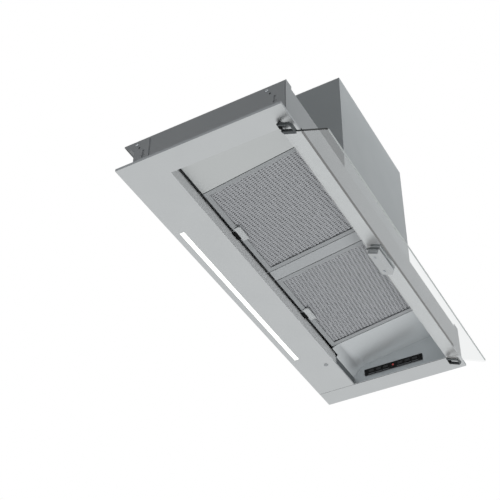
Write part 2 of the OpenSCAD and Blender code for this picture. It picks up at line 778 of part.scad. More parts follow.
// A slim hoop that grips one end of the glass and hangs on the pivot pin
module visor_arm(side) {
    x_in = visor_l / 2 - arm_grip;
    x_mid = visor_l / 2 + arm_bar;
    x_out = visor_l / 2 + arm_out - arm_grip;
    bend = arm_corner + 0.4 * arm_bar;
    at_visor() mirror([side > 0 ? 0 : 1, 0, 0]) difference() {
        union() {
            translate([0, 0, -arm_t / 2]) linear_extrude(arm_t) polygon([
                [x_in, 0], [x_in, -arm_reach],
                [x_out - arm_corner, -arm_reach], [x_out, -arm_reach + arm_corner], [x_out, 0],
                [x_out - arm_bar, 0], [x_out - arm_bar, -arm_reach + bend],
                [x_out - bend, -arm_reach + arm_bar], [x_mid, -arm_reach + arm_bar], [x_mid, 0]
            ]);
            bar_x_way(visor_l / 2, x_mid, arm_eye_r);
            bar_x_way(x_out - arm_bar, x_out, arm_eye_r);
        }
        block([x_in - 1, -arm_reach - 1, -glass_t / 2], [visor_l / 2, arm_reach, glass_t / 2]);
        bar_x_way(visor_l / 2, x_out + 1, pivot_r);
    }
}

module visor_left_arm() color("#1c1d1f") visor_arm(-1);

module visor_right_arm() color("#1c1d1f") visor_arm(1);

module visor_pins() color("#8a8c8e") at_visor() for (side = [-1, 1])
    mirror([side > 0 ? 0 : 1, 0, 0])
        bar_x_way(visor_l / 2, visor_l / 2 + arm_out - arm_grip, pivot_r);

module visor_pivot_lugs() color("#1c1d1f") for (side = [-1, 1])
    mirror([side > 0 ? 0 : 1, 0, 0]) difference() {
        union() {
            block([lug_x, pivot_y - 3.5, pivot_z], [lug_x + pivot_lug_l, pivot_y + 3.5, under]);
            translate([0, pivot_y, pivot_z]) bar_x_way(lug_x, lug_x + pivot_lug_l, 3.5);
        }
        translate([0, pivot_y, pivot_z])
            bar_x_way(lug_x - 1, lug_x + pivot_lug_l + 1, pivot_r + run_fit);
    }

// The clamp at the middle: a thin jaw above the glass and a thick jaw below it
module visor_centre_clamp() color("#b4b7b9") at_visor() {
    x = clamp_l / 2;
    top = glass_t / 2 + pad_t;
    block([-x, -arm_reach, top], [x, clamp_back, top + jaw_t]);
    block([-x, 0.5, -top - jaw_t], [x, clamp_back, top + jaw_t]);
    block([-x, -5, -top - jaw_t], [x, clamp_back, -top]);
    block([-x, -arm_reach, -glass_t / 2 - clamp_drop], [x, -4, -top]);
}

module visor_clamp_pads() color("#2c2d2e") at_visor() {
    x = clamp_l / 2;
    block([-x, -arm_reach, glass_t / 2], [x, 0, glass_t / 2 + pad_t]);
    block([-x, -arm_reach, -glass_t / 2 - pad_t], [x, 0, -glass_t / 2]);
}

module visor_clamp_screws() color("#6d6f71") at_visor() for (x = [-1, 1])
    translate([x * clamp_l * 0.32, -15, -glass_t / 2 - clamp_drop]) rotate([180, 0, 0])
        cylinder(h = 0.8, r = 3);

module visor_switch() color("#202224") {
    block([-18, open_front - sheet_t - 9, skin_top], [18, open_front - sheet_t, 12]);
    block([-24, open_front - sheet_t - 7, skin_top], [24, open_front - sheet_t - 2, skin_top + 2]);
}

module motor_box() color("#9b9ea0") {
    x0 = box_x - box_w / 2;
    x1 = box_x + box_w / 2;
    difference() {
        union() {
            block([x0, box_front, chassis_h], [x1, box_back, box_top]);
            block([x0 - foot_w, box_front + 2, chassis_h], [x1 + foot_w, box_back + foot_w, chassis_h + wall_t]);
        }
        block([x0 + wall_t, box_front + wall_t, chassis_h - 1], [x1 - wall_t, box_back - wall_t, scroll_top]);
        intersection() {
            translate([box_x, collar_y, scroll_top - 1]) cylinder(h = wall_t + 2, r = collar_inner);
            block([scroll_left + scroll_t, outlet_front, scroll_top - 2],
                  [scroll_right - scroll_t, outlet_back, box_top + 2]);
        }
        motor_box_screw_places() translate([0, 0, -3]) cylinder(h = 4, r = screw_r + 0.1);
        translate([0, lead_y, lead_z]) bar_x_way(x1 - wall_t - 1, x1 + 1, lead_r + 0.2);
    }
}

// Where the motor box is screwed down, on top of its foot flange
module motor_box_screw_places() {
    for (side = [-1, 1], y = [20, box_d / 2, box_d - 20])
        translate([box_x + side * (box_w + foot_w) / 2, box_front + y, chassis_h + wall_t]) children();
    for (side = [-1, 1])
        translate([box_x + side * box_w / 3, box_back + foot_w / 2, chassis_h + wall_t]) children();
}

module motor_box_screws() color("#6d6f71") motor_box_screw_places() pan_screw(3, screw_r, 2 * wall_t + 1);

// Electronics box on the chassis roof, right of the motor box
module terminal_box() color("#3d4043") {
    x1 = term_x + term_l;
    y1 = term_y + term_d;
    difference() {
        block([term_x, term_y, chassis_h], [x1, y1, term_top]);
        block([term_x + term_t, term_y + term_t, chassis_h + term_t], [x1 - term_t, y1 - term_t, term_top + 1]);
        translate([0, lead_y, lead_z]) bar_x_way(term_x - 1, term_x + term_t + 1, lead_r + 0.2);
        translate([0, gland_y, gland_z]) bar_x_way(x1 - term_t - 1, x1 + 1, gland_r);
    }
}

module terminal_box_lid() color("#45484b") {
    in = term_t + slide_fit;
    block([term_x, term_y, term_top], [term_x + term_l, term_y + term_d, term_top + 2.5]);
    for (y = [term_y + in, term_y + term_d - in - 2])
        block([term_x + in, y, term_top - 2], [term_x + term_l - in, y + 2, term_top + 0.1]);
    for (x = [8, term_l - 8], y = [8, term_d - 8])
        translate([term_x + x, term_y + y, term_top + 2.5]) cylinder(h = 1.2, r = 2.6);
}

// Blind rubber grommet where the mains cable enters
module mains_grommet() color("#1f2022") translate([term_x + term_l, gland_y, gland_z]) {
    bar_x_way(-term_t, 0, gland_r);
    bar_x_way(0, 3, gland_r + 2.5);
    bar_x_way(3, 12, gland_r - 1.5);
    bar_x_way(-term_t - 3, -term_t, gland_r + 1.5);
}

// Motor capacitor, clipped to the right wall of the motor box
module run_capacitor() color("#d8d9d6") {
    x1 = box_x + box_w / 2 - wall_t;
    x = x1 - capacitor_r - 1;
    y = box_front + wall_t + capacitor_r + 18;
    translate([x, y, capacitor_z]) cylinder(h = capacitor_l, r = capacitor_r);
    translate([x, y, capacitor_z + capacitor_l]) cylinder(h = 6, r = capacitor_r * 0.4);
    block([x1 - 4, y - 10, capacitor_z + 10], [x1, y + 10, capacitor_z + 50]);
}

// Sheathed lead from the electronics box through the box wall and up to the motor
module motor_lead() color("#26282a") {
    x0 = box_x + box_w / 2 - 26;
    top = blower_z - motor_r * 0.62;
    translate([0, lead_y, lead_z]) bar_x_way(x0, term_x + term_t + 4, lead_r);
    translate([x0, lead_y, lead_z]) sphere(lead_r);
    translate([x0, lead_y, lead_z]) cylinder(h = top - lead_z, r = lead_r);
    translate([x0, lead_y, top]) sphere(lead_r);
    translate([0, lead_y, top]) bar_x_way(motor_x + motor_l, x0, lead_r);
}

// Spiral wall of the scroll as [y, z] points round the fan's axis, from tongue to outlet
function spiral(grow) = [
    for (k = [1:35]) let (a = tongue_angle - k * 8)
        let (r = scroll_r0 + grow + (scroll_r1 - scroll_r0) * k / 35)
            [blower_y + r * cos(a), blower_z + r * sin(a)]
];

module scroll_outline(grow) {
    polygon(concat(spiral(grow), [
        [outlet_front - grow, scroll_top],
        [outlet_back + grow, scroll_top],
        [outlet_back + grow, tongue_z + grow]
    ]));
}

// One half of the scroll housing, with the air inlet in its side
module scroll_half(x0, x1, side_x) {
    difference() {
        translate([x0, 0, 0]) rotate([90, 0, 90]) linear_extrude(x1 - x0) scroll_outline(scroll_t);
        translate([side_x > 0 ? x0 - 1 : x0 + scroll_t, 0, 0]) rotate([90, 0, 90])
            linear_extrude(x1 - x0 - scroll_t + 1) scroll_outline(0);
        translate([0, blower_y, blower_z]) bar_x_way(x0 - 1, x1 + 1, inlet_r);
        block([x0 - 1, outlet_front, scroll_top - 3], [x1 + 1, outlet_back, scroll_top + 1]);
    }
}

module scroll_left_half() color("#54575a") scroll_half(scroll_left, box_x, -1);

module scroll_right_half() color("#54575a") scroll_half(box_x, scroll_right, 1);

// Double-inlet wheel: forward-curved blades between end rings, on a middle disc
module fan_wheel() color("#3b3e41") translate([box_x, blower_y, blower_z]) {
    inner = wheel_r - blade_depth;
    half = wheel_w / 2;
    rotate([90, 0, 90]) {
        translate([0, 0, -half]) linear_extrude(wheel_w) for (k = [0:blade_n - 1])
            rotate(k * 360 / blade_n) polygon([
                [inner, 0], [inner + 5, 1.6], [wheel_r - 2, 5.6],
                [wheel_r - 2.6, 6.6], [inner + 4.6, 2.8], [inner - 0.4, 1]
            ]);
        for (z = [-half, half - 3]) translate([0, 0, z]) linear_extrude(3) difference() {
            circle(wheel_r);
            circle(inner + 3);
        }
        translate([0, 0, -1]) linear_extrude(2) difference() {
            circle(inner + 3);
            circle(shaft_r);
        }
        translate([0, 0, -hub_l]) linear_extrude(hub_l) difference() {
            circle(hub_r);
            circle(shaft_r);
        }
    }
}

module motor_shaft() color("#a5a8aa") translate([0, blower_y, blower_z])
    bar_x_way(box_x - shaft_tip, motor_x + shaft_seat, shaft_r);

module motor_body() color("#7d8083") translate([0, blower_y, blower_z]) difference() {
    union() {
        bar_x_way(motor_x, motor_x + motor_l, motor_r);
        bar_x_way(motor_x - nose_l, motor_x, nose_r);
        for (k = [0:11]) rotate([k * 30, 0, 0])
            block([motor_x + fin_start, motor_r - 1, -fin_t / 2], [motor_x + motor_l - fin_stop, motor_r + fin_h, fin_t / 2]);
    }
    bar_x_way(motor_x - nose_l - 1, motor_x + shaft_seat + slide_fit, shaft_r + run_fit);
}

// Three-armed bracket that holds the motor over the right air inlet
module motor_bracket() color("#8f9294") translate([0, blower_y, blower_z]) {
    x0 = scroll_right + mount_h;
    difference() {
        bar_x_way(x0, x0 + ring_l, motor_r + ring_t);
        bar_x_way(x0 - 1, x0 + ring_l + 1, motor_r);
    }
    for (k = [30, 150, 270]) rotate([k, 0, 0])
        block([x0, motor_r + ring_t / 2, -mount_arm_w / 2], [x0 + mount_arm_t, mount_ring_r + 8, mount_arm_w / 2]);
}

module motor_rubber_mounts() color("#1d1e20") translate([0, blower_y, blower_z])
    for (k = [30, 150, 270]) rotate([k, 0, 0]) translate([0, mount_ring_r, 0])
        bar_x_way(scroll_right, scroll_right + mount_h, 6);

module duct_collar() color("#2f3234") translate([box_x, collar_y, box_top]) {
    difference() {
        union() {
            cylinder(h = collar_h, r = collar_r);
            cylinder(h = 2, r = collar_foot_r);
        }
        translate([0, 0, -1]) cylinder(h = collar_h + 2, r = collar_inner);
        translate([0, 0, flap_z - box_top]) bar_x_way(-collar_r - 1, collar_r + 1, axle_r);
    }
    translate([0, 0, flap_z - box_top - flap_t / 2 - slide_fit - 1.2]) difference() {
        cylinder(h = 1.2, r = collar_inner + 0.2);
        translate([0, 0, -1]) cylinder(h = 4, r = collar_inner - 4);
        block([-collar_r, -3.2, -1], [collar_r, 3.2, 3]);
    }
}

module flap_axle() color("#a5a8aa") translate([box_x, collar_y, flap_z])
    bar_x_way(-collar_r, collar_r, axle_r);

// One half-round flap; the two flaps' knuckles take turns along the axle
module duct_flap(side) {
    knuckle_r = axle_r + 0.9;
    places = side > 0 ? [-44, -12, 20] : [-28, 4, 36];
    difference() {
        union() {
            translate([0, 0, -flap_t / 2]) linear_extrude(flap_t) intersection() {
                circle(flap_r);
                translate([-collar_r, side > 0 ? knuckle_r + 0.6 : -collar_r - knuckle_r - 0.6])
                    square([2 * collar_r, collar_r]);
            }
            for (x = places) {
                bar_x_way(x, x + 10, knuckle_r);
                block([x, side > 0 ? 0 : -knuckle_r - 1, -flap_t / 2],
                      [x + 10, side > 0 ? knuckle_r + 1 : 0, flap_t / 2]);
            }
        }
        bar_x_way(-collar_r, collar_r, axle_r + run_fit);
    }
}

module front_flap() color("#4a4d50") translate([box_x, collar_y, flap_z]) duct_flap(-1);

module back_flap() color("#4a4d50") translate([box_x, collar_y, flap_z]) duct_flap(1);

face_plate();
right_end_trim();
chassis_shell();
left_end_plate();
right_end_plate();
fixing_brackets();
chassis_screws();
left_filler_panel();
filter_centre_bar();
front_filter_rail();
rear_filter_rail();
left_filter_frame();
left_filter_mesh();
left_filter_latch();
right_filter_frame();
right_filter_mesh();
right_filter_latch();
control_bay_liner();
control_fascia();
control_housing();
control_board();
status_lens();
button_power();
button_speed_down();
button_speed_up();
button_light();
button_dimmer();
button_timer();
lamp_diffuser();
lamp_channel();
lamp_board();
lamp_driver();
plate_sensor();
visor_glass();
visor_left_arm();
visor_right_arm();
visor_pins();
visor_pivot_lugs();
visor_centre_clamp();
visor_clamp_pads();
visor_clamp_screws();
visor_switch();
motor_box();
motor_box_screws();
terminal_box();
terminal_box_lid();
mains_grommet();
run_capacitor();
motor_lead();
scroll_left_half();
scroll_right_half();
fan_wheel();
motor_shaft();
motor_body();
motor_bracket();
motor_rubber_mounts();
duct_collar();
flap_axle();
front_flap();
back_flap();
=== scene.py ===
"""Looks of an integrated range hood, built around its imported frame.

The hood hangs with its seat plane at z = 0: the face plate lies just below it, the chassis and
the motor box stand above it, and the glass visor is open at the front. All lengths in this
file are metres unless a name ends in _mm.
"""

from __future__ import annotations

import json
import logging
import math
from dataclasses import dataclass
from enum import Enum
from typing import Any, Sequence

import bmesh
import bpy
from bmesh.types import BMEdge, BMesh, BMFace, BMVert
from bpy.types import Material, Node, NodeSocket, NodeTree, Object
from mathutils import Matrix, Vector

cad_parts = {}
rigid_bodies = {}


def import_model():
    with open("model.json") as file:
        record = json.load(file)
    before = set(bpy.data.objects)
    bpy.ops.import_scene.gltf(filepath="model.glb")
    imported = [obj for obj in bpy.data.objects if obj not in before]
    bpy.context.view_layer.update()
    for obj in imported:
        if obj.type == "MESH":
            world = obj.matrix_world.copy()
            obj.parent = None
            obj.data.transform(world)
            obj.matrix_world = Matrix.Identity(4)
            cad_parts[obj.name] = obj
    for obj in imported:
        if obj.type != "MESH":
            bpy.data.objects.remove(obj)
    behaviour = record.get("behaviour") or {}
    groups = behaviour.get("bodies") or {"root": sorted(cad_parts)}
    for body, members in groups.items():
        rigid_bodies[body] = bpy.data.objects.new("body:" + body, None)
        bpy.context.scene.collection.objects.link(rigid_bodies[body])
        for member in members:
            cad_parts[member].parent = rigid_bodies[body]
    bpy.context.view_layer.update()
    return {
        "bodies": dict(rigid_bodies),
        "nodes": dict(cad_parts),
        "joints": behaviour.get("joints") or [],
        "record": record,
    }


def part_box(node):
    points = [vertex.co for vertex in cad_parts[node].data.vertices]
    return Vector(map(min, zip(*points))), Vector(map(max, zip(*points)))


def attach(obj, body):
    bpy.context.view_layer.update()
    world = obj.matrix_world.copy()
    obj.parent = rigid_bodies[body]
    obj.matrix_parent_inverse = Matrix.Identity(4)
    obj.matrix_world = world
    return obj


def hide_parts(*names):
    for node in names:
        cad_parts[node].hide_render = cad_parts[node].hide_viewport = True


LOG = logging.getLogger("range_hood")
MM = 0.001
# Vertices of a CAD mesh that lie closer than this are one
MERGE_DISTANCE = 2e-6
# Ends of a spun profile that lie closer than this meet on its axis
AXIS_DISTANCE = 1e-7
# Slope of the filters, which rise towards the front, and the lower line of their rear faces
FILTER_TILT = math.radians(8.8)
FILTER_REAR_LINE = Vector((0.0, 78.5 * MM, 22.0 * MM))
# Slope of the open glass visor, which falls towards the front
VISOR_TILT = math.radians(23.0)
WHITE = (1.0, 1.0, 1.0, 1.0)

Triple = tuple[float, float, float]


class Side(Enum):
    """The two ends of the hood, as a camera in front of it sees them."""

    LEFT = "left"
    RIGHT = "right"


class Grain(Enum):
    """How a surface was made, which sets the pattern that its bump follows."""

    BRUSHED_ALONG_X = "brushed along the hood's length"
    BRUSHED_ALONG_Y = "brushed from front to back"
    ROLLED = "cold-rolled sheet, faintly streaked"
    ORANGE_PEEL = "sprayed or powder-coated"
    SPARK_TEXTURE = "moulded in a spark-eroded tool"
    CAST = "die-cast"
    SMOOTH = "polished or moulded against a polished tool"


def linear_colour(code: str) -> tuple[float, float, float, float]:
    """Turn an sRGB hex colour into the linear values that a shader takes.

    Args:
        code: The colour as six hex digits, such as "b9bdbf".

    Returns:
        Red, green, blue and an alpha of one.
    """
    parts = [int(code[i : i + 2], 16) / 255 for i in (0, 2, 4)]
    red, green, blue = (c / 12.92 if c <= 0.04045 else ((c + 0.055) / 1.055) ** 2.4 for c in parts)
    return (red, green, blue, 1.0)


def add_node(
    tree: NodeTree,
    kind: str,
    inputs: dict[str | int, Any] | None = None,
    **settings: Any,
) -> Node:
    """Add one shader node, with its settings and its inputs.

    Args:
        tree: The node tree to add to.
        kind: The node's type name after "ShaderNode", such as "Math".
        inputs: Input names or places, each with a value or with an output socket to link.
        settings: Properties of the node itself.

    Returns:
        The new node.
    """
    node = tree.nodes.new("ShaderNode" + kind)
    for name, value in settings.items():
        setattr(node, name, value)
    for name, value in (inputs or {}).items():
        if isinstance(value, NodeSocket):
            tree.links.new(value, node.inputs[name])
        else:
            node.inputs[name].default_value = value
    return node


def math_node(tree: NodeTree, operation: str, *values: float | NodeSocket, clamp: bool = False) -> NodeSocket:
    """Add a math node.

    Args:
        tree: The node tree to add to.
        operation: What the node does, such as "MULTIPLY".
        values: Its inputs, each a number or a socket to link.
        clamp: Whether the result is kept between zero and one.

    Returns:
        The socket with the result.
    """
    inputs = dict(enumerate(values))
    return add_node(tree, "Math", inputs, operation=operation, use_clamp=clamp).outputs[0]


def object_noise(tree: NodeTree, scale: float, detail: float = 2.0) -> NodeSocket:
    """Add noise that is fixed to the piece.

    Args:
        tree: The node tree to add to.
        scale: The pattern's cells per metre.
        detail: How many finer octaves it has.

    Returns:
        The socket with the noise, from zero to one.
    """
    place = add_node(tree, "TexCoord").outputs["Object"]
    inputs = {"Vector": place, "Scale": scale, "Detail": detail}
    return add_node(tree, "TexNoise", inputs).outputs[0]


def mixed_shader(
    tree: NodeTree,
    share: float | NodeSocket,
    first: NodeSocket,
    second: NodeSocket,
) -> NodeSocket:
    """Mix two shaders: the first shows where the share is zero, the second where it is one."""
    return add_node(tree, "MixShader", {0: share, 1: first, 2: second}).outputs[0]


def blank_material(name: str) -> tuple[Material, NodeTree, Node]:
    """Make a material that holds only an output node.

    Args:
        name: The material's name.

    Returns:
        The material, its node tree and the output node.
    """
    material = bpy.data.materials.new(name)
    material.use_nodes = True
    tree = material.node_tree
    tree.nodes.clear()
    return material, tree, tree.nodes.new("ShaderNodeOutputMaterial")


@dataclass(frozen=True)
class Finish:
    """A surface finish: what it is made of and how the surface was made."""

    name: str
    colour: str
    grain: Grain
    metallic: float = 0.0
    roughness: float = 0.5
    grain_mm: float = 1.0
    bump_mm: float = 0.02
    mottle: float = 0.04
    ior: float = 1.5

    # Shared by all finishes: cells per metre of the broad mottle, what the patterns do to the roughness
    # either way, how strong the bump is, and the cells along a brushed or a rolled grain per cell across it
    mottle_scale = 14.0
    roughness_swing = 0.06
    bump_strength = 0.6
    brushed_share = 0.02
    rolled_share = 0.1

    def stretch(self) -> Triple:
        """Give the fine pattern's scale along each axis, in cells per metre."""
        fine = 1.0 / (self.grain_mm * MM)
        if self.grain is Grain.BRUSHED_ALONG_X:
            return (fine * self.brushed_share, fine, fine)
        if self.grain is Grain.BRUSHED_ALONG_Y:
            return (fine, fine * self.brushed_share, fine)
        if self.grain is Grain.ROLLED:
            return (fine * self.rolled_share, fine, fine)
        return (fine, fine, fine)

    def patterns(self, tree: NodeTree) -> tuple[NodeSocket, NodeSocket]:
        """Add the fine pattern of the grain, and its even mix with a broad mottle.

        Args:
            tree: The node tree to add to.

        Returns:
            The sockets with the fine pattern and with the mix.
        """
        place = add_node(tree, "TexCoord").outputs["Object"]
        scaled = add_node(tree, "Mapping", {"Vector": place, "Scale": self.stretch()})
        inputs = {"Vector": scaled.outputs[0], "Scale": 1.0, "Detail": 3.0, "Roughness": 0.6}
        fine = add_node(tree, "TexNoise", inputs).outputs[0]
        half = math_node(tree, "MULTIPLY", fine, 0.5)
        return fine, math_node(tree, "MULTIPLY_ADD", object_noise(tree, self.mottle_scale), 0.5, half)

    def build(self) -> Material:
        """Build the material's nodes.

        Returns:
            The finished material.
        """
        material, tree, output = blank_material(self.name)
        fine, mix = self.patterns(tree)
        base = linear_colour(self.colour)[:3]
        dark, light = ([c * k for c in base] + [1.0] for k in (1 - self.mottle, 1 + self.mottle))
        tone = add_node(tree, "Mix", {0: mix, 6: dark, 7: light}, data_type="RGBA")
        rough = add_node(
            tree,
            "MapRange",
            {
                "Value": mix,
                "From Min": 0.3,
                "From Max": 0.7,
                "To Min": self.roughness - self.roughness_swing,
                "To Max": self.roughness + self.roughness_swing,
            },
        )
        bump = add_node(
            tree,
            "Bump",
            {"Strength": self.bump_strength, "Distance": self.bump_mm * MM, "Height": fine},
        )
        shader = add_node(
            tree,
            "BsdfPrincipled",
            {
                "Base Color": tone.outputs[2],
                "Roughness": rough.outputs[0],
                "Metallic": self.metallic,
                "Normal": bump.outputs[0],
                "IOR": self.ior,
            },
        )
        tree.links.new(shader.outputs[0], output.inputs["Surface"])
        return material


@dataclass(frozen=True)
class ClearSheet:
    """Clear float glass with an easy-clean film: it dulls what lies behind it and mirrors the room.

    Only the camera sees the film. Light passes the glass as if it weren't there.
    """

    name: str
    tint: str
    veil: float

    def build(self) -> Material:
        """Build the material from a transparent and a glossy part.

        Returns:
            The finished material.
        """
        material, tree, output = blank_material(self.name)
        clear = add_node(tree, "BsdfTransparent", {"Color": linear_colour(self.tint)})
        marks = object_noise(tree, scale=20.0)
        rough = add_node(tree, "MapRange", {"Value": marks, "To Min": 0.01, "To Max": 0.05})
        film = add_node(tree, "BsdfGlossy", {"Color": WHITE, "Roughness": rough.outputs[0]})
        fresnel = add_node(tree, "Fresnel", {"IOR": 1.52}).outputs[0]
        inside = add_node(tree, "NewGeometry").outputs["Backfacing"]
        bright = math_node(tree, "ADD", fresnel, self.veil, clamp=True)
        share = math_node(tree, "MULTIPLY", bright, math_node(tree, "SUBTRACT", 1.0, inside))
        seen = mixed_shader(tree, share, clear.outputs[0], film.outputs[0])
        camera_ray = add_node(tree, "LightPath").outputs["Is Camera Ray"]
        passed = add_node(tree, "BsdfTransparent", {"Color": WHITE})
        tree.links.new(mixed_shader(tree, camera_ray, passed.outputs[0], seen), output.inputs["Surface"])
        return material


@dataclass(frozen=True)
class GroundEdge:
    """The ground edge of a glass sheet: its own colour from outside, and clear from within."""

    name: str
    colour: str

    def build(self) -> Material:
        """Build the material from the side of the face that is seen.

        Returns:
            The finished material.
        """
        material, tree, output = blank_material(self.name)
        marks = object_noise(tree, scale=900.0)
        bump = add_node(tree, "Bump", {"Distance": 0.02 * MM, "Height": marks})
        dark = add_node(
            tree,
            "BsdfPrincipled",
            {"Base Color": linear_colour(self.colour), "Roughness": 0.3, "Normal": bump.outputs[0]},
        )
        clear = add_node(tree, "BsdfTransparent", {"Color": WHITE})
        inside = add_node(tree, "NewGeometry").outputs["Backfacing"]
        seen = mixed_shader(tree, inside, dark.outputs[0], clear.outputs[0])
        tree.links.new(seen, output.inputs["Surface"])
        return material


@dataclass(frozen=True)
class Lit:
    """A lit plastic: its own colour, and light coming out of it."""

    name: str
    colour: str
    strength: float
    roughness: float = 0.35

    def build(self) -> Material:
        """Build the lit material, a little uneven as a diffuser over separate lamps is.

        Returns:
            The finished material.
        """
        material, tree, output = blank_material(self.name)
        uneven = object_noise(tree, scale=60.0, detail=1.0)
        bump = add_node(tree, "Bump", {"Distance": 0.05 * MM, "Height": uneven})
        shader = add_node(
            tree,
            "BsdfPrincipled",
            {
                "Base Color": linear_colour(self.colour),
                "Roughness": self.roughness,
                "Emission Color": linear_colour(self.colour),
                "Emission Strength": self.strength,
                "Normal": bump.outputs[0],
            },
        )
        tree.links.new(shader.outputs[0], output.inputs["Surface"])
        return material


AnyFinish = Finish | ClearSheet | GroundEdge | Lit

# Stainless steel sheet with a fine ground finish along its length: soft, stretched highlights
STAINLESS = Finish("stainless_brushed", "d2d5d6", Grain.BRUSHED_ALONG_X, 1.0, 0.42, 0.5, 0.003, 0.02)
# The same sheet folded into the bay, with its grain from front to back: a clearer sheen
STAINLESS_BAY = Finish("stainless_bay", "c7cbcd", Grain.BRUSHED_ALONG_Y, 0.75, 0.38, 0.5, 0.003, 0.02)
# Outer side of the plate's folded rim and of its ends: the steel painted darker as shade, which also damps
# the highlight on the rounded edge
STAINLESS_RIM_SHADE = Finish("stainless_rim_painted_shade", "9fa3a6", Grain.ROLLED, 0.4, 0.5, 0.6, 0.004, 0.03)
# Stainless blank panel of the filter row: brushed like the plate, a shade darker
STAINLESS_PANEL = Finish("stainless_panel", "cccfcf", Grain.BRUSHED_ALONG_X, 1.0, 0.42, 0.6, 0.004, 0.03)
# Stainless sheet of the control bay's upright back wall and of the plate's flange beside it: painted dark as
# the shade that falls there, and dull
STAINLESS_BAY_SHADE = Finish("stainless_bay_painted_shade", "696d6f", Grain.ROLLED, 0.3, 0.55, 0.6, 0.004, 0.03)
# Black of painted shadow: on the outside of the plate's front rim and on a strip of the chassis above it,
# where the gap under the visor lies in shade; also the dark seam between the plate's two pieces. Even and
# quite matt
SHADOW_AND_SEAM_BLACK = Finish("painted_shadow_and_seam_black", "0b0c0c", Grain.SPARK_TEXTURE, 0.0, 0.9, 1.5, 0.02, 0.1)
# Rear rail of the filters: the plate's steel with a bead-blasted, matt face
STAINLESS_MATT = Finish("stainless_bead_blasted", "d2d4d5", Grain.CAST, 0.0, 0.6, 0.5, 0.004, 0.02)
# Zinc-coated bar between the filters: far duller than the plate
BAR_STEEL = Finish("zinc_coated_bar", "a2a5a7", Grain.BRUSHED_ALONG_Y, 0.2, 0.5, 0.8, 0.004, 0.03)
# Chassis sheet in grey powder coat: dull, with a faint orange peel
POWDER_GREY = Finish("powder_coat_grey", "898d8f", Grain.ORANGE_PEEL, 0.0, 0.5, 2.0, 0.03, 0.03)
# End plates in the same coat, a shade darker
POWDER_DARK = Finish("powder_coat_dark", "989b9d", Grain.ORANGE_PEEL, 0.0, 0.5, 2.0, 0.03, 0.03)
# Motor box in light grey powder coat
POWDER_LIGHT = Finish("powder_coat_light", "8f9496", Grain.ORANGE_PEEL, 0.0, 0.48, 2.0, 0.03, 0.03)
# Zinc-coated sheet: grey, faintly streaked by rolling, half dull
GALVANISED = Finish("galvanised_sheet", "9a9d9f", Grain.ROLLED, 0.9, 0.4, 2.5, 0.01, 0.08)
# Anodised aluminium of the filter frames: grey, satin
ANODISED = Finish("anodised_aluminium", "929597", Grain.ROLLED, 0.2, 0.45, 1.2, 0.006, 0.04)
# Expanded aluminium foil of the filters: brighter where it was cut, dull elsewhere
EXPANDED = Finish("expanded_aluminium", "9ea0a3", Grain.ROLLED, 0.3, 0.45, 0.8, 0.01, 0.06)
# The foil layers deeper in the filter: painted lighter than the front layer to lift the shade they lie in,
# and dulled by a little grease
EXPANDED_DEEP = Finish("expanded_aluminium_deep", "c6c7ca", Grain.ROLLED, 0.2, 0.6, 0.8, 0.01, 0.06)
# Stamped and tumbled steel of the latches: light and satin
TUMBLED = Finish("tumbled_steel", "b4b7b8", Grain.CAST, 0.3, 0.42, 0.8, 0.01, 0.03)
# Zinc-plated screw heads: bright, slightly blue
ZINC_PLATE = Finish("zinc_plate", "aeb3b7", Grain.CAST, 1.0, 0.3, 0.3, 0.004, 0.06)
# Drawn and polished steel of pins and shafts: mirror-like, with fine marks
DRAWN_STEEL = Finish("drawn_steel", "b4b7b9", Grain.ROLLED, 1.0, 0.2, 0.4, 0.002, 0.03)
# Blackened steel of the visor's pins: dark, oily sheen
BLACKENED = Finish("blackened_steel", "333538", Grain.ROLLED, 1.0, 0.45, 0.4, 0.003, 0.05)
# Acrylic of the control strip: black, polished
ACRYLIC_BLACK = Finish("acrylic_black", "060708", Grain.SMOOTH, 0.0, 0.25, 8.0, 0.002, 0.02, ior=1.28)
# Moulded ABS of the buttons: dark grey, polished
ABS_BUTTON = Finish("abs_button", "1b1d1f", Grain.SPARK_TEXTURE, 0.0, 0.3, 0.4, 0.004, 0.03)
# Printed bars below the buttons: grey ink, half gloss
PRINTED_GREY = Finish("printed_grey", "525557", Grain.SMOOTH, 0.0, 0.4, 1.0, 0.002, 0.02)
# Glass-filled nylon of the visor's lugs and the latches: black, satin
NYLON_BLACK = Finish("nylon_black", "050606", Grain.SPARK_TEXTURE, 0.0, 0.7, 0.5, 0.01, 0.05, ior=1.3)
# Glass-filled nylon of the visor's arms: grey, satin
NYLON_GREY = Finish("nylon_grey", "45494b", Grain.SPARK_TEXTURE, 0.0, 0.6, 0.5, 0.01, 0.05)
# ABS housings inside: black, dull
ABS_HOUSING = Finish("abs_housing", "1e2022", Grain.SPARK_TEXTURE, 0.0, 0.55, 0.5, 0.012, 0.05)
# Polypropylene of the scroll and collar: dark grey, waxy
PP_DARK = Finish("polypropylene_dark", "3c3f42", Grain.SPARK_TEXTURE, 0.0, 0.5, 0.6, 0.01, 0.05)
# Glass-filled polypropylene of the fan wheel: near black, dull
PP_WHEEL = Finish("polypropylene_wheel", "2a2d2f", Grain.SPARK_TEXTURE, 0.0, 0.55, 0.5, 0.012, 0.05)
# Die-cast aluminium of the motor's shells: grey, pebbled
CAST_ALLOY = Finish("die_cast_alloy", "8a8d90", Grain.CAST, 0.8, 0.5, 0.7, 0.03, 0.07)
# Rubber of pads, mounts and grommets: black, dull
RUBBER = Finish("rubber_black", "161617", Grain.SPARK_TEXTURE, 0.0, 0.75, 0.6, 0.02, 0.05)
# Translucent silicone between the clamp and the glass: grey, waxy
SILICONE = Finish("silicone_grey", "8e9294", Grain.SPARK_TEXTURE, 0.0, 0.5, 0.8, 0.01, 0.03)
# PVC sheath of the motor lead: black, half gloss
PVC_SHEATH = Finish("pvc_sheath", "1a1b1d", Grain.SPARK_TEXTURE, 0.0, 0.45, 0.8, 0.006, 0.04)
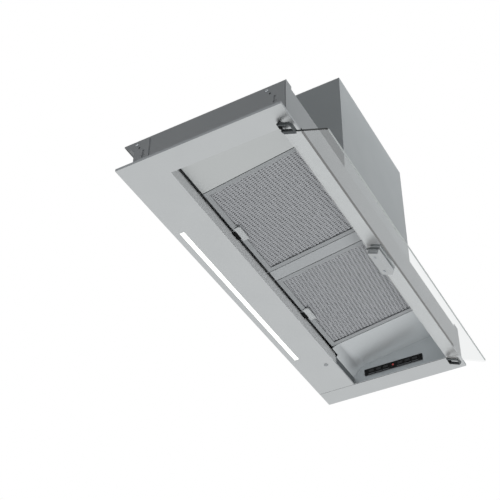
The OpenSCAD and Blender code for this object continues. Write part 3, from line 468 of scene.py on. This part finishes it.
# White moulded cases of the lamp driver and the capacitor
CASE_WHITE = Finish("moulded_case_white", "dcdcd7", Grain.SPARK_TEXTURE, 0.0, 0.45, 0.6, 0.008, 0.03)
# Circuit board laminate under green lacquer
BOARD_GREEN = Finish("board_lacquer_green", "1f5a3a", Grain.SMOOTH, 0.0, 0.3, 3.0, 0.01, 0.08)
# White lacquered aluminium board of the lamp
BOARD_WHITE = Finish("board_lacquer_white", "e8e9e4", Grain.SMOOTH, 0.0, 0.35, 3.0, 0.01, 0.03)
# Smoked polycarbonate of the sensor window
SENSOR_GREY = Finish("polycarbonate_smoked", "8f9395", Grain.SMOOTH, 0.0, 0.2, 4.0, 0.002, 0.03)
# Clear float glass of the visor
FLOAT_GLASS = ClearSheet("float_glass", "f9fafa", 0.13)
# Long edges of the glass: grey-green, polished
GLASS_LONG_EDGE = GroundEdge("glass_long_edge", "b4b9b8")
# Short ends of the glass: almost black, because the eye looks along its whole length
GLASS_END = GroundEdge("glass_end", "1d2323")
# Opal acrylic over the lit strip
OPAL_LIT = Lit("opal_acrylic_lit", "fdfdf8", 1.0)
# Red light of the control strip
RED_LIT = Lit("polycarbonate_red_lit", "9c3a36", 0.35, 0.2)

CAD_FINISHES: dict[str, AnyFinish] = {
    "face_plate": STAINLESS,
    "right_end_trim": STAINLESS,
    "chassis_shell": POWDER_GREY,
    "left_end_plate": POWDER_DARK,
    "right_end_plate": POWDER_DARK,
    "fixing_brackets": POWDER_DARK,
    "left_filler_panel": STAINLESS_PANEL,
    "filter_centre_bar": BAR_STEEL,
    "front_filter_rail": GALVANISED,
    "rear_filter_rail": STAINLESS_MATT,
    "left_filter_frame": ANODISED,
    "right_filter_frame": ANODISED,
    "left_filter_latch": TUMBLED,
    "right_filter_latch": TUMBLED,
    "control_bay_liner": STAINLESS_BAY,
    "control_fascia": ACRYLIC_BLACK,
    "control_housing": ABS_HOUSING,
    "control_board": BOARD_GREEN,
    "status_lens": RED_LIT,
    "lamp_diffuser": OPAL_LIT,
    "lamp_channel": GALVANISED,
    "lamp_board": BOARD_WHITE,
    "lamp_driver": CASE_WHITE,
    "plate_sensor": SENSOR_GREY,
    "visor_left_arm": NYLON_GREY,
    "visor_right_arm": NYLON_GREY,
    "visor_pins": BLACKENED,
    "visor_pivot_lugs": NYLON_BLACK,
    "visor_centre_clamp": TUMBLED,
    "visor_clamp_pads": SILICONE,
    "visor_clamp_screws": ZINC_PLATE,
    "visor_switch": ABS_HOUSING,
    "motor_box": POWDER_LIGHT,
    "terminal_box": ABS_HOUSING,
    "terminal_box_lid": ABS_HOUSING,
    "mains_grommet": RUBBER,
    "run_capacitor": CASE_WHITE,
    "motor_lead": PVC_SHEATH,
    "scroll_left_half": PP_DARK,
    "scroll_right_half": PP_DARK,
    "fan_wheel": PP_WHEEL,
    "motor_shaft": DRAWN_STEEL,
    "motor_body": CAST_ALLOY,
    "motor_bracket": GALVANISED,
    "motor_rubber_mounts": RUBBER,
    "duct_collar": PP_DARK,
    "flap_axle": DRAWN_STEEL,
    "front_flap": PP_DARK,
    "back_flap": PP_DARK,
}

# Edge radius in millimetres that each folded or moulded piece shows
EDGE_MM: dict[str, float] = {
    "left_end_plate": 0.25,
    "right_end_plate": 0.25,
    "fixing_brackets": 0.25,
    "left_filler_panel": 0.3,
    "filter_centre_bar": 0.3,
    "left_filter_latch": 0.4,
    "right_filter_latch": 0.4,
    "visor_left_arm": 0.9,
    "visor_right_arm": 0.9,
    "visor_pivot_lugs": 0.5,
    "visor_centre_clamp": 0.5,
    "terminal_box": 0.8,
    "terminal_box_lid": 0.8,
    "lamp_driver": 0.8,
    "visor_switch": 0.5,
    "control_fascia": 0.3,
}


class Workshop:
    """Holds the frame and the finished materials, and turns meshes into pieces."""

    # Faces with more corners or a larger area than this are shaded flat, and edges under this angle smooth
    smooth_corners = 4
    flat_over = 60 * MM * MM
    smooth_below = math.radians(35)
    # Edges of a CAD mesh that turn by less than the first are dissolved, by more than the second rounded
    flat_within = math.radians(0.5)
    sharp_over = math.radians(40)

    def __init__(self, frame: dict[str, Any]) -> None:
        """Keep the frame.
        """
        self.nodes: dict[str, Object] = frame["nodes"]
        self.slot_of = {s["node"]: s["material_slot"] for s in frame["record"]["subparts"]}
        self.body_of = {
            node: body for body, nodes in frame["record"]["behaviour"]["bodies"].items() for node in nodes
        }
        self._materials: dict[str, Material] = {}

    def material(self, finish: AnyFinish) -> Material:
        """Give the material of a finish, built once."""
        if finish.name not in self._materials:
            self._materials[finish.name] = finish.build()
        return self._materials[finish.name]

    def dress(self, node: str, finish: AnyFinish) -> None:
        """Put a finish on a CAD node that stays.

        Args:
            node: The node's name.
            finish: The finish of its whole surface.
        """
        mesh = self.nodes[node].data
        mesh.materials.clear()
        mesh.materials.append(self.material(finish))
        LOG.info("dressed %s in %s", node, finish.name)

    def piece(
        self,
        name: str,
        shape: BMesh,
        body: str,
        finishes: Sequence[AnyFinish],
        replaces: Sequence[str] = (),
    ) -> None:
        """Make an object of a bmesh, let it ride on a body and free the bmesh.

        Args:
            name: The new piece's name.
            shape: Its mesh, in the row frame.
            body: The CAD body that it moves with.
            finishes: Its finishes, in the order of its faces' material numbers.
            replaces: CAD nodes that it stands for.
        """
        mesh = bpy.data.meshes.new(name)
        for face in shape.faces:
            face.smooth = len(face.verts) <= self.smooth_corners and face.calc_area() < self.flat_over
        for edge in shape.edges:
            edge.smooth = edge.is_manifold and edge.calc_face_angle(math.pi) < self.smooth_below
        shape.to_mesh(mesh)
        shape.free()
        for finish in finishes:
            mesh.materials.append(self.material(finish))
        thing = add_object(name, mesh)
        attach(thing, body)
        if replaces:
            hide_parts(*replaces)
        LOG.info("built %s on %s", name, body)

    def copy_of(self, node: str) -> BMesh:
        """Copy a CAD node's mesh, with its loose triangles joined into flat faces.

        Args:
            node: The node's name.

        Returns:
            The joined copy.
        """
        shape = bmesh.new()
        shape.from_mesh(self.nodes[node].data)
        bmesh.ops.remove_doubles(shape, verts=shape.verts, dist=MERGE_DISTANCE)
        bmesh.ops.dissolve_limit(
            shape, angle_limit=self.flat_within, verts=shape.verts, edges=shape.edges, delimit={"NORMAL"}
        )
        return shape

    def rounded(self, node: str, edge_mm: float) -> BMesh:
        """Copy a CAD node's mesh and round its sharp edges.

        Args:
            node: The node's name.
            edge_mm: The edge radius in millimetres.

        Returns:
            The rounded copy.
        """
        shape = self.copy_of(node)
        sharp = [e for e in shape.edges if e.is_manifold and e.calc_face_angle(0.0) > self.sharp_over]
        round_edges(shape, sharp, edge_mm * MM, clamp=True)
        return shape

    def stand_in(self, node: str, ending: str, shape: BMesh, finishes: Sequence[AnyFinish]) -> None:
        """Put a new piece in place of a CAD node, on the same body.

        Args:
            node: The node that the piece stands for.
            ending: What is added to the node's name.
            shape: The new piece's mesh.
            finishes: Its finishes.
        """
        self.piece(node + ending, shape, self.body_of[node], finishes, [node])

    def softened(self, node: str, edge_mm: float, finish: AnyFinish) -> None:
        """Stand a copy with rounded edges in for a CAD node.

        Args:
            node: The node's name.
            edge_mm: The edge radius in millimetres.
            finish: The finish of its whole surface.
        """
        self.stand_in(node, ".rounded", self.rounded(node, edge_mm), [finish])

    def islands(self, node: str) -> list[tuple[Vector, Vector]]:
        """Find the separate solids of a CAD node.

        Args:
            node: The node's name.

        Returns:
            The lowest and the highest corner of each solid.
        """
        shape = bmesh.new()
        shape.from_mesh(self.nodes[node].data)
        bmesh.ops.remove_doubles(shape, verts=shape.verts, dist=MERGE_DISTANCE)
        left = set(shape.verts)
        found = []
        while left:
            heap = [left.pop()]
            group = list(heap)
            while heap:
                for edge in heap.pop().link_edges:
                    for vert in edge.verts:
                        if vert in left:
                            left.discard(vert)
                            heap.append(vert)
                            group.append(vert)
            low = Vector([min(v.co[i] for v in group) for i in range(3)])
            high = Vector([max(v.co[i] for v in group) for i in range(3)])
            found.append((low, high))
        shape.free()
        return sorted(found, key=lambda pair: tuple(pair[0]))


def add_object(name: str, data: bpy.types.ID) -> Object:
    """Put a new object with its mesh, lamp or camera into the scene."""
    thing = bpy.data.objects.new(name, data)
    bpy.context.scene.collection.objects.link(thing)
    return thing


def corners(box: Sequence[Sequence[float]]) -> tuple[Vector, Vector]:
    """Turn a box's lowest and highest corners into vectors."""
    low, high = box
    return Vector(low), Vector(high)


def round_edges(
    shape: BMesh,
    edges: Sequence[BMEdge],
    radius: float,
    steps: int = 2,
    clamp: bool = False,
) -> None:
    """Round some edges of a mesh.

    Args:
        shape: The bmesh to change.
        edges: The edges to round.
        radius: How far the rounding reaches from each edge.
        steps: How many faces the rounding has across.
        clamp: Whether the radius shrinks where two roundings would overlap.
    """
    bmesh.ops.bevel(
        shape,
        geom=edges,
        offset=radius,
        offset_type="OFFSET",
        segments=steps,
        profile=0.5,
        affect="EDGES",
        clamp_overlap=clamp,
        material=-1,
    )


def cut_across(
    shape: BMesh, point: Sequence[float], normal: Sequence[float], keep_inner: bool = False
) -> None:
    """Cut a mesh along a plane, and take away what lies on the normal's side if only the inner part stays."""
    bmesh.ops.bisect_plane(
        shape,
        geom=shape.verts[:] + shape.edges[:] + shape.faces[:],
        plane_co=point,
        plane_no=normal,
        clear_outer=keep_inner,
    )


def add_box(
    shape: BMesh, low: Sequence[float], high: Sequence[float], turn: Matrix | None = None
) -> list[BMVert]:
    """Add a box between two corners.

    Args:
        shape: The bmesh to add to.
        low: The lowest corner.
        high: The highest corner.
        turn: A transform to apply afterwards.

    Returns:
        The box's vertices.
    """
    size = Vector(high) - Vector(low)
    middle = (Vector(high) + Vector(low)) / 2
    place = Matrix.Translation(middle) @ Matrix.Diagonal((*size, 1.0))
    return bmesh.ops.create_cube(shape, size=1.0, matrix=(turn or Matrix()) @ place)["verts"]


def turned_profile(shape: BMesh, points: Sequence[tuple[float, float]], place: Matrix, steps: int) -> None:
    """Spin a profile of (radius, height) points once round the Z axis, then put it in its place.

    Args:
        shape: The bmesh to add to.
        points: The profile, from one end on the axis or open at both ends.
        place: The transform from the spin's frame to the row frame.
        steps: How many steps the full turn takes.
    """
    verts = [shape.verts.new((r, 0.0, h)) for r, h in points]
    edges = [shape.edges.new(pair) for pair in zip(verts, verts[1:])]
    before = set(shape.verts) - set(verts)
    bmesh.ops.spin(
        shape,
        geom=verts + edges,
        cent=(0, 0, 0),
        axis=(0, 0, 1),
        angle=math.tau,
        steps=steps,
        use_merge=True,
    )
    made = [v for v in shape.verts if v not in before]
    bmesh.ops.remove_doubles(shape, verts=made, dist=AXIS_DISTANCE)
    made = [v for v in shape.verts if v not in before]
    faces = {f for v in made for f in v.link_faces}
    bmesh.ops.recalc_face_normals(shape, faces=list(faces))
    bmesh.ops.transform(shape, matrix=place, verts=made)


def filter_plane() -> Matrix:
    """Give the frame of the filters: y = 0 at their rear faces, z = 0 at their lower faces."""
    return Matrix.Translation(FILTER_REAR_LINE) @ Matrix.Rotation(-FILTER_TILT, 4, "X")


# How far a piece is let into what carries it, and how near the cut a cell of foil stays closed
SEATED = 0.2 * MM
CUT_MARGIN = 0.01 * MM


@dataclass(frozen=True)
class FoilLayer:
    """One sheet of expanded foil: its height in the filter, its cell, its strand and its waves.

    Where the waves are deep, only the cells at their far side are open, which draws the fine
    lines that run along the filter.
    """

    height_mm: float
    long_mm: float
    short_mm: float
    strand_mm: float
    wave_mm: float
    waved: bool
    finish: Finish


@dataclass
class GreaseFilter:
    """The layers of expanded foil in one grease filter, and the black nose of its latch, whose black also
    paints the shade in the latch's notch.

    The foil reaches to a margin from the frame's outer edge, and its strands are turned a little
    from filter to filter, as they are cut from the roll. The nose's corners are in the frame of
    the filters, from the middle of the latch.
    """

    side: Side
    turn_deg: float
    length: float = 217 * MM / math.cos(FILTER_TILT)
    margin: float = 1.6 * MM
    sheet: float = 0.3 * MM
    spare: float = 1.2
    nose_low: Triple = (-11 * MM, -3.4 * MM, -2.3 * MM)
    nose_high: Triple = (11 * MM, 4.6 * MM, -0.4 * MM)
    nose_radius: float = 0.4 * MM
    layers: tuple[FoilLayer, ...] = (
        FoilLayer(2.7, 5.0, 7.8, 1.0, 1.9, True, EXPANDED),
        FoilLayer(4.9, 6.0, 4.6, 2.2, 0.3, False, EXPANDED_DEEP),
        FoilLayer(6.3, 5.2, 4.2, 2.1, 0.3, False, EXPANDED_DEEP),
    )

    def place(self) -> tuple[float, float]:
        """Give the middle and the width of the filter's frame along x."""
        low, high = corners(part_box(f"{self.side.value}_filter_frame"))
        return (low.x + high.x) / 2, high.x - low.x

    def pressed_grid(self, foil: FoilLayer, reach_x: float, reach_y: float) -> BMesh:
        """Make a grid of slanted cells that covers a rectangle, pressed into waves.

        Args:
            foil: The sheet's sizes.
            reach_x: Half the rectangle's width.
            reach_y: Half its length.

        Returns:
            The grid, flat about its own middle, before its turn.
        """
        grid = bmesh.new()
        flat = foil.short_mm / foil.long_mm
        cells = 2 * math.ceil(self.spare * (reach_x + reach_y / flat) / (foil.long_mm * MM)) + 2
        # The cells are squares on their corners at first, and their diagonal is the long way of a cell
        bmesh.ops.create_grid(
            grid,
            x_segments=cells,
            y_segments=cells,
            size=cells * foil.long_mm * MM / math.sqrt(2) / 2,
            matrix=Matrix.Diagonal((1.0, flat, 1.0, 1.0)) @ Matrix.Rotation(math.radians(45), 4, "Z"),
        )
        for vert in grid.verts:
            vert.co.z = foil.wave_mm * MM / 2 * math.cos(math.tau * vert.co.y / (foil.short_mm * MM))
        return grid

    def layer(self, foil: FoilLayer) -> BMesh:
        """Make one sheet: a pressed grid, turned, cut to the frame and opened to strands.

        Args:
            foil: The sheet's sizes.

        Returns:
            The sheet, in the row frame.
        """
        middle, width = self.place()
        reach_x, reach_y = width / 2 - self.margin, self.length / 2 - self.margin
        sheet = self.pressed_grid(foil, reach_x, reach_y)
        turn = Matrix.Rotation(math.radians(self.turn_deg), 4, "Z")
        bmesh.ops.transform(sheet, matrix=turn, verts=sheet.verts)
        for normal, reach in (
            (Vector((1, 0, 0)), reach_x),
            (Vector((-1, 0, 0)), reach_x),
            (Vector((0, 1, 0)), reach_y),
            (Vector((0, -1, 0)), reach_y),
        ):
            cut_across(sheet, normal * reach, normal, keep_inner=True)
        back = turn.inverted()
        opened = []
        for face in sheet.faces:
            row = round(2 * (back @ face.calc_center_median()).y / (foil.short_mm * MM))
            uncut = all(
                abs(v.co.x) < reach_x - CUT_MARGIN and abs(v.co.y) < reach_y - CUT_MARGIN for v in face.verts
            )
            if uncut and not (foil.waved and row % 2):
                opened.append(face)
        bmesh.ops.inset_individual(
            sheet, faces=opened, thickness=foil.strand_mm * MM / 2, use_even_offset=True
        )
        bmesh.ops.delete(sheet, geom=opened, context="FACES")
        bmesh.ops.recalc_face_normals(sheet, faces=sheet.faces[:])
        bmesh.ops.solidify(sheet, geom=sheet.faces[:], thickness=self.sheet)
        centre = Matrix.Translation((middle, -self.length / 2, foil.height_mm * MM))
        bmesh.ops.transform(sheet, matrix=filter_plane() @ centre, verts=sheet.verts)
        return sheet

    def build(self, shop: Workshop) -> None:
        """Build the foil layers and the nose of the latch."""
        side = self.side.value
        for number, foil in enumerate(self.layers, 1):
            shop.piece(
                f"{side}_filter_foil_{number}",
                self.layer(foil),
                f"{side}_filter",
                [foil.finish],
                [f"{side}_filter_mesh"],
            )
        nose = bmesh.new()
        middle = self.place()[0]
        add_box(nose, self.nose_low, self.nose_high, filter_plane() @ Matrix.Translation((middle, 0, 0)))
        round_edges(nose, nose.edges[:], self.nose_radius)
        shop.piece(f"{side}_latch_nose", nose, f"{side}_latch", [NYLON_BLACK])


@dataclass
class LatchKeeper:
    """A black moulded keeper let into the rear rail, where a filter's latch engages; its black also paints
    the shade in the notch there.
    """

    side: Side
    half_width: float = 11 * MM
    depth: float = 1.0 * MM
    bottom: float = 13 * MM
    edge_radius: float = 0.3 * MM

    def build(self, shop: Workshop) -> None:
        """Set the keeper into the rail at the middle of the latch."""
        low, high = corners(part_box(f"{self.side.value}_filter_latch"))
        rail_low, rail_high = corners(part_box("rear_filter_rail"))
        middle = (low.x + high.x) / 2
        shape = bmesh.new()
        add_box(
            shape,
            (middle - self.half_width, rail_low.y - self.depth, self.bottom),
            (middle + self.half_width, rail_low.y + SEATED, rail_high.z),
        )
        round_edges(shape, shape.edges[:], self.edge_radius)
        shop.piece(f"{self.side.value}_latch_keeper", shape, "hood", [NYLON_BLACK])


@dataclass
class FacePlate:
    """The stainless plate and its end piece, with black painted shadow along the front rim.

    The rims' ends, and the front rim beyond the black, are painted darker as shade; the seam between the two
    pieces is dark, and the flange at the slot is matt along the filters and painted dark as shade in the
    control bay.
    """

    nodes: tuple[str, ...] = ("face_plate", "right_end_trim")
    finishes: tuple[Finish, ...] = (STAINLESS, SHADOW_AND_SEAM_BLACK, STAINLESS_RIM_SHADE, STAINLESS_MATT, STAINLESS_BAY_SHADE)
    edge_mm: float = 0.2
    facing: float = 0.5
    skin: float = 0.3 * MM
    flange_reach: float = 4 * MM
    shadow_inset: float = 22 * MM
    seam_reach: float = 2 * MM
    shadow_strip: float = 1.1 * MM
    shadow_strip_bottom: float = 0.2 * MM
    shadow_strip_top: float = 6 * MM

    def __post_init__(self) -> None:
        """Find the lines where the finish changes."""
        rail_low, rail_high = corners(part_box("rear_filter_rail"))
        glass_low, glass_high = corners(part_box("visor_glass"))
        self.rail_y, self.rail_end = rail_low.y, rail_high.x
        self.foam_low, self.shadow_high = glass_low.x + self.shadow_inset, glass_high.x - self.shadow_inset
        self.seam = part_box("right_end_trim")[0][0]

    def finish_at(self, face: BMFace, low: Vector, high: Vector) -> Finish:
        """Choose the finish of one face.

        Args:
            face: The face.
            low: The lowest corner of the piece that it belongs to.
            high: The highest corner.

        Returns:
            One of the plate's finishes.
        """
        place = face.calc_center_median()
        faces_front = face.normal.y < -self.facing
        # The front rim: black as painted shadow under the visor, painted shade towards its ends
        if faces_front and place.y < low.y + self.skin:
            return SHADOW_AND_SEAM_BLACK if self.foam_low < place.x < self.shadow_high else STAINLESS_RIM_SHADE
        # The rims' ends: painted shade, and black at the seam between the two pieces
        if abs(face.normal.x) > self.facing and min(place.x - low.x, high.x - place.x) < self.skin:
            return SHADOW_AND_SEAM_BLACK if abs(place.x - self.seam) < self.seam_reach else STAINLESS_RIM_SHADE
        # The flange at the slot: matt along the filters, painted dark as shade in the control bay
        if faces_front and abs(place.y - self.rail_y) < self.flange_reach:
            return STAINLESS_MATT if place.x < self.rail_end else STAINLESS_BAY_SHADE
        return STAINLESS

    def build(self, shop: Workshop) -> None:
        """Round the edges, give each face its finish, and add a black strip of painted shadow above the front
        rim.
        """
        for node in self.nodes:
            low, high = corners(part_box(node))
            shape = shop.rounded(node, self.edge_mm)
            for cut in (self.rail_end, self.foam_low, self.shadow_high):
                cut_across(shape, (cut, 0, 0), (1, 0, 0))
            for face in shape.faces:
                face.material_index = self.finishes.index(self.finish_at(face, low, high))
            shop.stand_in(node, ".rounded", shape, self.finishes)
        chassis_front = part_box("chassis_shell")[0][1]
        # A black strip on the chassis front, just above the rim, paints the shadow of the gap there
        shadow_strip = bmesh.new()
        add_box(
            shadow_strip,
            (self.foam_low, chassis_front - self.shadow_strip, self.shadow_strip_bottom),
            (self.shadow_high, chassis_front + SEATED, self.shadow_strip_top),
        )
        shop.piece("front_painted_shadow_strip", shadow_strip, "hood", [SHADOW_AND_SEAM_BLACK])


@dataclass
class BayLiner:
    """The liner of the control bay: a soft bend in its roof, and its upright wall at the back painted dark as
    shade.
    """

    node: str = "control_bay_liner"
    bend_radius: float = 9 * MM
    bend_steps: int = 12
    bend_deg: tuple[float, float] = (-60.0, -15.0)
    level_within: float = 1 * MM
    roof_facing: float = 0.95
    wall_facing: float = 0.9
    wall_y: float = 60 * MM

    def is_bend(self, edge: BMEdge) -> bool:
        """Tell whether an edge is the inner bend between the roof and the slope behind it."""
        if not edge.is_manifold or not any(f.normal.z < -self.roof_facing for f in edge.link_faces):
            return False
        first, second = (v.co for v in edge.verts)
        least, most = self.bend_deg
        bent = least < math.degrees(edge.calc_face_angle_signed(0.0)) < most
        return bent and abs(first.y - second.y) < self.level_within

    def build(self, shop: Workshop) -> None:
        """Round the bend and mark the faces of the upright wall."""
        shape = shop.copy_of(self.node)
        round_edges(shape, [e for e in shape.edges if self.is_bend(e)], self.bend_radius, self.bend_steps)
        for face in shape.faces:
            # The upright back wall gets the dark of painted shade
            if face.normal.y < -self.wall_facing and face.calc_center_median().y > self.wall_y:
                face.material_index = 1
        shop.stand_in(self.node, ".rounded", shape, [STAINLESS_BAY, STAINLESS_BAY_SHADE])


@dataclass
class Visor:
    """The glass of the visor, with ground edges."""

    node: str = "visor_glass"
    finishes: tuple[AnyFinish, ...] = (FLOAT_GLASS, GLASS_LONG_EDGE, GLASS_END)
    end_facing: float = 0.7
    edge_facing: float = 0.6

    def build(self, shop: Workshop) -> None:
        """Split the glass's surface into faces, long edges and ends."""
        shape = shop.copy_of(self.node)
        outward = Vector((0, -math.cos(VISOR_TILT), -math.sin(VISOR_TILT)))
        for face in shape.faces:
            if abs(face.normal.x) > self.end_facing:
                face.material_index = self.finishes.index(GLASS_END)
            elif abs(face.normal.dot(outward)) > self.edge_facing:
                face.material_index = self.finishes.index(GLASS_LONG_EDGE)
        shop.stand_in(self.node, ".sheet", shape, self.finishes)


@dataclass
class ControlStrip:
    """The buttons of the control strip, with a printed bar below each."""

    buttons: tuple[str, ...] = ("power", "speed_down", "speed_up", "light", "dimmer", "timer")
    edge_mm: float = 0.4
    overhang: float = 1.0 * MM
    drop: float = 4.2 * MM
    height: float = 2.8 * MM
    ink: float = 0.06 * MM
    ink_seat: float = 0.02 * MM

    def build(self, shop: Workshop) -> None:
        """Round each button's edges, and print a bar on the fascia below it."""
        face_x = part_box("control_fascia")[0][0]
        marks = bmesh.new()
        for name in self.buttons:
            node = f"button_{name}"
            shop.softened(node, self.edge_mm, ABS_BUTTON)
            low, high = corners(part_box(node))
            bottom = low.z - self.drop
            add_box(
                marks,
                (face_x - self.ink, low.y - self.overhang, bottom),
                (face_x + self.ink_seat, high.y + self.overhang, bottom + self.height),
            )
        shop.piece("control_marks", marks, "hood", [PRINTED_GREY])


@dataclass
class ScrewSet:
    """Pan-head screws with a cross recess, in place of a node of plain heads.

    The dome's profile and the arms of the cross are shares of the head's radius and height.
    """

    node: str
    head_radius: float = 3 * MM
    head_height: float = 1.8 * MM
    round_within: float = 0.1 * MM
    dome: tuple[tuple[float, float], ...] = (
        (0.0, 1.0),
        (0.45, 0.97),
        (0.78, 0.8),
        (0.97, 0.45),
        (1.0, 0.0),
        (0.0, 0.0),
    )
    steps: int = 24
    arm_low: Triple = (-0.55, -0.11, 0.9)
    arm_high: Triple = (0.55, 0.11, 1.01)

    def build(self, shop: Workshop) -> None:
        """Turn each head and press its cross into it."""
        shape = bmesh.new()
        for low, high in shop.islands(self.node):
            self.head(shape, low, high)
        shop.stand_in(self.node, ".turned", shape, [ZINC_PLATE, ABS_HOUSING])

    def axis_place(self, low: Vector, high: Vector) -> Matrix:
        """Find where a screw's head sits and which way it faces.

        Args:
            low: The lowest corner of the screw's solid.
            high: The highest corner.

        Returns:
            The transform from a head that faces +Z on the origin plane.
        """
        middle = (low + high) / 2
        size = high - low
        if size.x > size.z or abs(size.x - size.y) > self.round_within:
            face = 1.0 if middle.x > 0 else -1.0
            top = high.x if face > 0 else low.x
            place = Matrix.Translation((top - face * self.head_height, middle.y, middle.z))
            return place @ Matrix.Rotation(face * math.pi / 2, 4, "Y")
        return Matrix.Translation((middle.x, middle.y, high.z - self.head_height))

    def head(self, shape: BMesh, low: Vector, high: Vector) -> None:
        """Add one domed head with a cross recess.

        Args:
            shape: The bmesh to add to.
            low: The lowest corner of the screw's solid.
            high: The highest corner.
        """
        place = self.axis_place(low, high)
        radius, height = self.head_radius, self.head_height
        points = [(radius * share, height * level) for share, level in self.dome]
        turned_profile(shape, points, place, self.steps)
        for turn in (0.0, math.pi / 2):
            cross = place @ Matrix.Rotation(turn, 4, "Z") @ Matrix.Diagonal((radius, radius, height, 1.0))
            made = add_box(shape, self.arm_low, self.arm_high, cross)
            for face in {f for v in made for f in v.link_faces}:
                face.material_index = 1


@dataclass
class LampSetting:
    """One soft area lamp of the studio."""

    name: str
    place: Triple
    aim: Triple
    size: float
    power: float
    mirrored: bool = True


@dataclass
class Studio:
    """The pale studio round the hood: floor, world, lamps and camera."""

    floor_z: float = -2.3
    floor_reach: float = 12.0
    floor_colour: str = "e6e6e4"
    floor_white: float = 0.75
    sky: tuple[float, float, float, float] = (0.94, 0.97, 1.0, 1.0)
    sky_strength: float = 0.32
    lens_mm: float = 76.79
    sensor_mm: float = 36.0
    near_clip: float = 0.01
    camera_place: Triple = (-1.53518, -0.74123, -1.40218)
    camera_turn: Triple = (130.8868, -0.6916, -60.7031)
    lamps: tuple[LampSetting, ...] = (
        LampSetting("below", (0.2, -0.6, -2.15), (0.0, 0.0, 0.0), 2.4, 56.5, False),
        LampSetting("front", (-0.05, -0.6, 1.1), (-0.05, -0.2, 0.36), 0.4, 9.0, False),
        LampSetting("above_right", (2.2, 0.4, 1.8), (0.1, 0.0, 0.1), 1.6, 26.0),
    )

    def place_camera(self) -> None:
        """Put the camera at the photograph's viewing angle."""
        data = bpy.data.cameras.new("camera")
        data.lens = self.lens_mm
        data.sensor_width = self.sensor_mm
        data.clip_start = self.near_clip
        camera = add_object("camera", data)
        camera.location = self.camera_place
        camera.rotation_euler = [math.radians(a) for a in self.camera_turn]
        bpy.context.scene.camera = camera

    def lay_floor(self) -> None:
        """Lay a wide pale floor below the hood, far enough down for every view."""
        shape = bmesh.new()
        place = Matrix.Translation((0, 0, self.floor_z))
        bmesh.ops.create_grid(shape, x_segments=1, y_segments=1, size=self.floor_reach, matrix=place)
        mesh = bpy.data.meshes.new("floor")
        shape.to_mesh(mesh)
        shape.free()
        material, tree, output = blank_material("pale_floor")
        flat = add_node(tree, "Emission", {"Color": WHITE, "Strength": 1.0})
        matt = add_node(tree, "BsdfDiffuse", {"Color": linear_colour(self.floor_colour)})
        share = math_node(tree, "MULTIPLY", self.seen_directly(tree), self.floor_white)
        mixed = mixed_shader(tree, share, matt.outputs[0], flat.outputs[0])
        tree.links.new(mixed, output.inputs["Surface"])
        mesh.materials.append(material)
        floor = add_object("floor", mesh)

    def seen_directly(self, tree: NodeTree) -> NodeSocket:
        """Give a socket that is one for camera, glossy and transmission rays, otherwise zero."""
        path = add_node(tree, "LightPath").outputs
        first = math_node(tree, "MAXIMUM", path["Is Camera Ray"], path["Is Glossy Ray"])
        return math_node(tree, "MAXIMUM", first, path["Is Transmission Ray"])

    def fill_world(self) -> None:
        """Fill the world with a white background and a softer light on the object."""
        world = bpy.data.worlds.new("studio_world")
        bpy.context.scene.world = world
        world.use_nodes = True
        tree = world.node_tree
        tree.nodes.clear()
        output = tree.nodes.new("ShaderNodeOutputWorld")
        white = add_node(tree, "Background", {"Color": WHITE, "Strength": 1.0})
        soft = add_node(tree, "Background", {"Color": self.sky, "Strength": self.sky_strength})
        mixed = mixed_shader(tree, self.seen_directly(tree), soft.outputs[0], white.outputs[0])
        tree.links.new(mixed, output.inputs["Surface"])

    def hang_lamps(self) -> None:
        """Hang the soft lamps, each turned to its aim."""
        for setting in self.lamps:
            data = bpy.data.lights.new(setting.name, "AREA")
            data.shape = "DISK"
            data.size = setting.size
            data.energy = setting.power
            lamp = add_object(setting.name, data)
            lamp.location = setting.place
            towards = Vector(setting.aim) - Vector(setting.place)
            lamp.rotation_euler = towards.to_track_quat("-Z", "Y").to_euler()
            lamp.visible_camera = False
            lamp.visible_glossy = setting.mirrored

    def build(self) -> None:
        """Set up the whole studio."""
        bpy.context.scene.view_settings.view_transform = "Standard"
        self.place_camera()
        self.lay_floor()
        self.fill_world()
        self.hang_lamps()
        LOG.info("studio ready")


def main() -> None:
    """Build the looks of the hood in order."""
    logging.basicConfig(level=logging.INFO, format="%(name)s: %(message)s")
    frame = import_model()
    shop = Workshop(frame)
    Studio().build()
    for node, finish in CAD_FINISHES.items():
        shop.dress(node, finish)
    for node, edge_mm in EDGE_MM.items():
        shop.softened(node, edge_mm, CAD_FINISHES[node])
    FacePlate().build(shop)
    ControlStrip().build(shop)
    GreaseFilter(Side.LEFT, turn_deg=-8.0).build(shop)
    GreaseFilter(Side.RIGHT, turn_deg=4.0).build(shop)
    BayLiner().build(shop)
    for side in Side:
        LatchKeeper(side).build(shop)
    Visor().build(shop)
    for node in ("chassis_screws", "motor_box_screws"):
        ScrewSet(node).build(shop)


if __name__ == "__main__":
    main()
